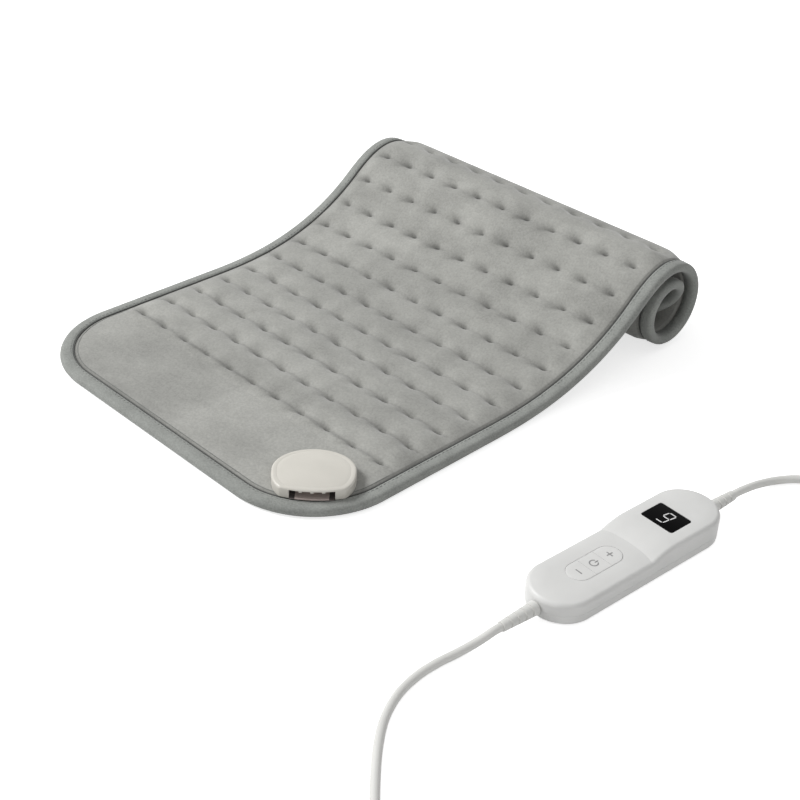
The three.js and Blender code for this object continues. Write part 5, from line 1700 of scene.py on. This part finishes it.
# Plug and connector: each body is drawn down from its rounded face to its neck
plug = {
    "length": 0.025,
    "halfWidth": 0.012,
    "halfHeight": 0.0083,
    "corner": 0.0054,
    "edge": 0.0011,
    "neckWidth": 0.50,
    "neckHeight": 0.70,
    "waist": 0.07,
    "bladeSpacing": 0.0127,
    "bladeThickness": 0.0016,
    "bladeWidth": 0.0064,
    "bladeRoot": 0.0071,
}
connector = {
    "length": 0.024,
    "halfWidth": 0.0165,
    "halfHeight": 0.0066,
    "corner": 0.0046,
    "edge": 0.0011,
    "neckWidth": 0.31,
    "neckHeight": 0.74,
    "waist": 0.06,
    "noseWidth": 0.0272,
    "noseHeight": 0.0034,
    "noseReach": 0.0095,
    "noseEdge": 0.0003,
    "bores": 4,
    "borePitch": 0.0062,
    "boreRadius": 0.00105,
    "boreDepth": 0.0082,
    "boreSides": 20,
    "noseRoot": 0.002,
}
grip = {
    "fullFrom": 0.80,
    "widthRise": 0.62,
    "heightRise": 0.40,
    "waistPlace": 0.50,
    "waistLength": 0.16,
    "rings": 12,
    "edgeSteps": 4,
}


def gripBody(name, sizes):
    # a rounded plate at the front, drawn back ring by ring to its waist and neck
    length, edge, full = sizes["length"], sizes["edge"], grip["fullFrom"]
    body = roundedPlate(
        name, 2 * sizes["halfWidth"], 2 * sizes["halfHeight"], sizes["corner"],
        full * length, length - edge)
    startEditing(body, "FACE")
    chooseFlat(body, length - edge, 1)
    insetRings(quarterRound(edge, grip["edgeSteps"]))
    chooseFlat(body, full * length, -1)

    def share(neck, place, rise):
        return neck + (1 - neck) * math.sin(math.pi / 2 * min(place / rise, 1))

    width, height = 1, 1
    for k in range(1, grip["rings"] + 1):
        place = full * (1 - k / grip["rings"])
        away = (place - grip["waistPlace"]) / grip["waistLength"]
        nextWidth = share(sizes["neckWidth"], place, grip["widthRise"])
        nextHeight = share(sizes["neckHeight"], place, grip["heightRise"])
        nextHeight -= sizes["waist"] * math.exp(-away ** 2)
        drawOut(-full * length / grip["rings"], nextWidth / width, nextHeight / height)
        width, height = nextWidth, nextHeight
    endEditing()
    return body


def atCordEnd(piece, lead):
    # from along Z to the end of a lead's sleeve, lying the way the cord leaves
    place = cordEnd(lead, relief["length"] + 2 * cord["seat"])
    carry(piece, place @ Matrix.Rotation(-math.pi / 2, 4, "X"))


def makePlug():
    body = gripBody("plugBody", plug)
    depth = plug["length"] - plug["bladeRoot"]
    for side in (-1, 1):
        carve(body, block(
            "bladeSlot", plug["bladeThickness"], plug["bladeWidth"], depth, plug["length"] + cutBeyond,
            side * plug["bladeSpacing"] / 2))
    atCordEnd(body, mainsLead)
    finished(body, plastic["cordRubber"], "mains_plug", degrees=40)


def makeConnector():
    body = gripBody("connectorBody", connector)
    tip = connector["length"] + connector["noseReach"]
    root = connector["length"] - connector["noseRoot"]
    nose = block("nose", connector["noseWidth"], connector["noseHeight"], root, tip)
    roundEdges(nose, connector["noseEdge"], segments=2, degrees=60)
    carve(body, nose, "UNION")
    for k in range(connector["bores"]):
        sideways = (k - (connector["bores"] - 1) / 2) * connector["borePitch"]
        carve(body, post(
            "pinBore", connector["boreRadius"], tip - connector["boreDepth"], tip + cutBeyond, sideways, 0,
            connector["boreSides"]))
    atCordEnd(body, padLead)
    finished(body, plastic["cordRubber"], "pad_connector", degrees=40)


makePlug()
makeConnector()
declareCord(mainsLead)
declareCord(padLead)


# Case screws, each with a cross in its head
screw = {
    "profile": (
        (0.0023, 0.0008), (0.0026, 0.0011), (0.0026, 0.0023),
        (0.0012, 0.00231), (0.0012, 0.0098), (0.0004, 0.0103),
    ),
    "sides": 24,
    "crossWidth": 0.0007,
    "crossLength": 0.0030,
    "crossFloor": 0.0017,
}


def makeScrews():
    wide, reach, floor = screw["crossWidth"], screw["crossLength"], screw["crossFloor"]
    for i, (sideX, sideY) in enumerate(((-1, -1), (1, -1), (-1, 1), (1, 1))):
        made = turned(f"screw{i + 1}", screw["profile"], screw["sides"])
        carve(made, block("crossAlong", wide, reach, 0, floor))
        carve(made, block("crossAside", reach, wide, 0, floor))
        corner = Matrix.Translation((sideX * housing["screwX"], sideY * housing["screwY"], 0))
        carry(made, housingFrame @ corner)
        finished(made, metal["steelBright"], f"case_screw_{i + 1}")


def dressNode(nodeName, material):
    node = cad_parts[nodeName]
    if not node.material_slots:
        node.data.materials.append(material)
    for place in node.material_slots:
        place.material = material


makeScrews()
dressings = {
    "inner_felt": plastic["feltWhite"],
    "heating_wire": plastic["wireSleeve"],
    "pin_block": plastic["darkPlastic"],
    "display_module": plastic["switchBlack"],
    "circuit_board": plastic["boardGreen"],
}
dressings.update({f"contact_pin_{i}": metal["brassBright"] for i in range(1, 5)})
dressings.update({f"tact_switch_{i}": plastic["switchBlack"] for i in range(1, 4)})
dressings.update({f"plug_blade_{i}": metal["brassBright"] for i in range(1, 3)})
for nodeName, material in dressings.items():
    dressNode(nodeName, material)
print("moulded pieces dressed")


# Signs on the keys, and the figure in the display
signs = {
    "stroke": 0.0008,
    "barLength": 0.0047,
    "ringRadius": 0.0025,
    "thickness": 0.0001,
    "digitHeight": 0.0108,
    "digitWidth": 0.0052,
    "digitStroke": 0.00076,
    "digitOverlap": 1.3,
    "slant": math.radians(9),
    "above": 0.4,
    "rounding": 0.3,
    "ringDrop": 0.0004,
    "ringOpening": 0.5,
    "ringSteps": (48, 10),
    "powerBarLength": 0.0026,
    "powerBarPlace": 0.0017,
}


def makeStroke(name, width, length, x, y, z):
    # a flat printed stroke with rounded corners
    half = signs["thickness"] / 2
    stroke = block(name, width, length, -half, half)
    roundEdges(stroke, min(width, length) * signs["rounding"], segments=3, degrees=30)
    carry(stroke, Matrix.Translation((x, y, z)))
    return stroke


def joined(pieces, name):
    selectOnly(pieces[0])
    for piece in pieces:
        piece.select_set(True)
    if len(pieces) > 1:
        bpy.ops.object.join()
    pieces[0].name = name
    return pieces[0]


def makePowerRing(y, z):
    # a flattened ring, open towards the display
    around, across = signs["ringSteps"]
    ring = added(
        "powerRing", bpy.ops.mesh.primitive_torus_add, major_radius=signs["ringRadius"],
        minor_radius=signs["stroke"] / 2, major_segments=around, minor_segments=across)
    opening = signs["ringRadius"] * signs["ringOpening"]
    startEditing(ring, "FACE")
    choose(ring, "faces", lambda face: (
        face.calc_center_median().y > 0 and abs(face.calc_center_median().x) < opening))
    bpy.ops.mesh.delete(type="FACE")
    chooseAll()
    bpy.ops.mesh.fill_holes(sides=0)
    turnOutwards()
    bpy.ops.transform.resize(value=(1, 1, signs["thickness"] / signs["stroke"]))
    bpy.ops.transform.translate(value=(0, y, z))
    endEditing()
    return ring


def makeSigns():
    stroke, length = signs["stroke"], signs["barLength"]
    z = keypad["top"] + signs["thickness"] * signs["above"]
    for key, place in (("minus", -1), ("power", 0), ("plus", 1)):
        y = keypad["centre"] + place * keypad["pitch"]
        if key == "power":
            strokes = [
                makePowerRing(y - signs["ringDrop"], z),
                makeStroke("powerBar", stroke, signs["powerBarLength"], 0, y + signs["powerBarPlace"], z),
            ]
        else:
            strokes = [makeStroke(key + "Across", length, stroke, 0, y, z)]
        if key == "plus":
            carve(strokes[0], makeStroke("plusAlong", stroke, length, 0, y, z), "UNION")
        sign = joined(strokes, key + "Sign")
        carry(sign, housingFrame)
        smoothed(sign)
        coat(sign, plastic["printGrey"])
        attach(sign, key + "_button_body")


def makeDigit():
    h, w, stroke = signs["digitHeight"], signs["digitWidth"], signs["digitStroke"]
    across, half = w - signs["digitOverlap"] * stroke, h / 2 - signs["digitOverlap"] * stroke
    bars = {
        "top": (across, stroke, 0, h / 2),
        "middle": (across, stroke, 0, 0),
        "bottom": (across, stroke, 0, -h / 2),
        "upperLeft": (stroke, half, -w / 2, h / 4),
        "upperRight": (stroke, half, w / 2, h / 4),
        "lowerRight": (stroke, half, w / 2, -h / 4),
    }
    digit = joined([makeStroke("digit" + name, *sizes, 0) for name, sizes in bars.items()], "displayFigure")
    for vertex in digit.data.vertices:
        vertex.co.x += vertex.co.y * math.tan(signs["slant"])
        vertex.co.y += display["centre"]
        vertex.co.z += display["top"] + signs["thickness"] * signs["above"]
    carry(digit, housingFrame)
    coat(digit, digitLight)
    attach(digit, mainBody)


makeSigns()
makeDigit()
mainsCord.data.materials.append(plastic["cordRubber"])
padCord.data.materials.append(plastic["cordRubber"])
print("signs printed")


# Floor, lamps and world
studio = {
    "middle": (0.2, 0.1),
    "floorSize": 12,
    "floorHeight": -0.0004,
    "floorColour": 0.8,
    "floorGlow": 0.68,
    "worldColour": 0.455,
    "worldSeen": 1.3,
    "aim": (0.1, 0.1, 0),
}
lamps = {
    "keyLamp": {"place": (-1.5, -0.85, 1.65), "power": 54, "size": 0.9},
    "fillLamp": {"place": (0.2, 0.1, 2.2), "power": 4, "size": 1.6},
    "sideLamp": {"place": (1.7, -0.9, 0.55), "power": 5, "size": 1.2},
}


def cameraShare(tree):
    # one for the camera's rays and for those it sees in gloss or glass, and nothing for the others
    path = tree.nodes.new("ShaderNodeLightPath")
    seen = path.outputs["Is Camera Ray"]
    for kind in ("Is Glossy Ray", "Is Transmission Ray"):
        either = tree.nodes.new("ShaderNodeMath")
        either.operation = "MAXIMUM"
        tree.links.new(seen, either.inputs[0])
        tree.links.new(path.outputs[kind], either.inputs[1])
        seen = either.outputs[0]
    return seen


def makeFloor():
    bpy.ops.object.select_all(action="DESELECT")
    bpy.ops.mesh.primitive_plane_add(
        size=studio["floorSize"], location=(*studio["middle"], studio["floorHeight"]))
    floor = bpy.context.object
    floor.name = "floor"
    paper = bpy.data.materials.new("whitePaper")
    paper.use_nodes = True
    tree = paper.node_tree
    tree.nodes.clear()
    matt = tree.nodes.new("ShaderNodeBsdfDiffuse")
    matt.inputs["Color"].default_value = (studio["floorColour"],) * 3 + (1,)
    glow = tree.nodes.new("ShaderNodeEmission")
    scaled = tree.nodes.new("ShaderNodeMath")
    scaled.operation = "MULTIPLY"
    scaled.inputs[1].default_value = studio["floorGlow"]
    tree.links.new(cameraShare(tree), scaled.inputs[0])
    tree.links.new(scaled.outputs[0], glow.inputs["Strength"])
    both = tree.nodes.new("ShaderNodeAddShader")
    tree.links.new(matt.outputs[0], both.inputs[0])
    tree.links.new(glow.outputs[0], both.inputs[1])
    out = tree.nodes.new("ShaderNodeOutputMaterial")
    tree.links.new(both.outputs[0], out.inputs["Surface"])
    floor.data.materials.append(paper)


def makeLamp(name, place, power, size):
    data = bpy.data.lights.new(name, "AREA")
    data.energy = power
    data.size = size
    lamp = newObject(name, data)
    aim = Vector(studio["aim"]) - Vector(place)
    lamp.rotation_mode = "QUATERNION"
    lamp.rotation_quaternion = aim.to_track_quat("-Z", "Y")
    lamp.location = place


def makeWorld():
    world = bpy.data.worlds.new("paleRoom")
    bpy.context.scene.world = world
    world.use_nodes = True
    tree = world.node_tree
    tree.nodes.clear()
    lit, seen = (tree.nodes.new("ShaderNodeBackground") for _ in range(2))
    lit.inputs["Strength"].default_value = studio["worldColour"]
    seen.inputs["Strength"].default_value = studio["worldSeen"]
    mix = tree.nodes.new("ShaderNodeMixShader")
    tree.links.new(cameraShare(tree), mix.inputs["Fac"])
    tree.links.new(lit.outputs[0], mix.inputs[1])
    tree.links.new(seen.outputs[0], mix.inputs[2])
    out = tree.nodes.new("ShaderNodeOutputWorld")
    tree.links.new(mix.outputs[0], out.inputs["Surface"])


makeFloor()
for name, values in lamps.items():
    makeLamp(name, **values)
makeWorld()
bpy.context.scene.view_settings.view_transform = "Standard"
print("floor, lamps and world made")
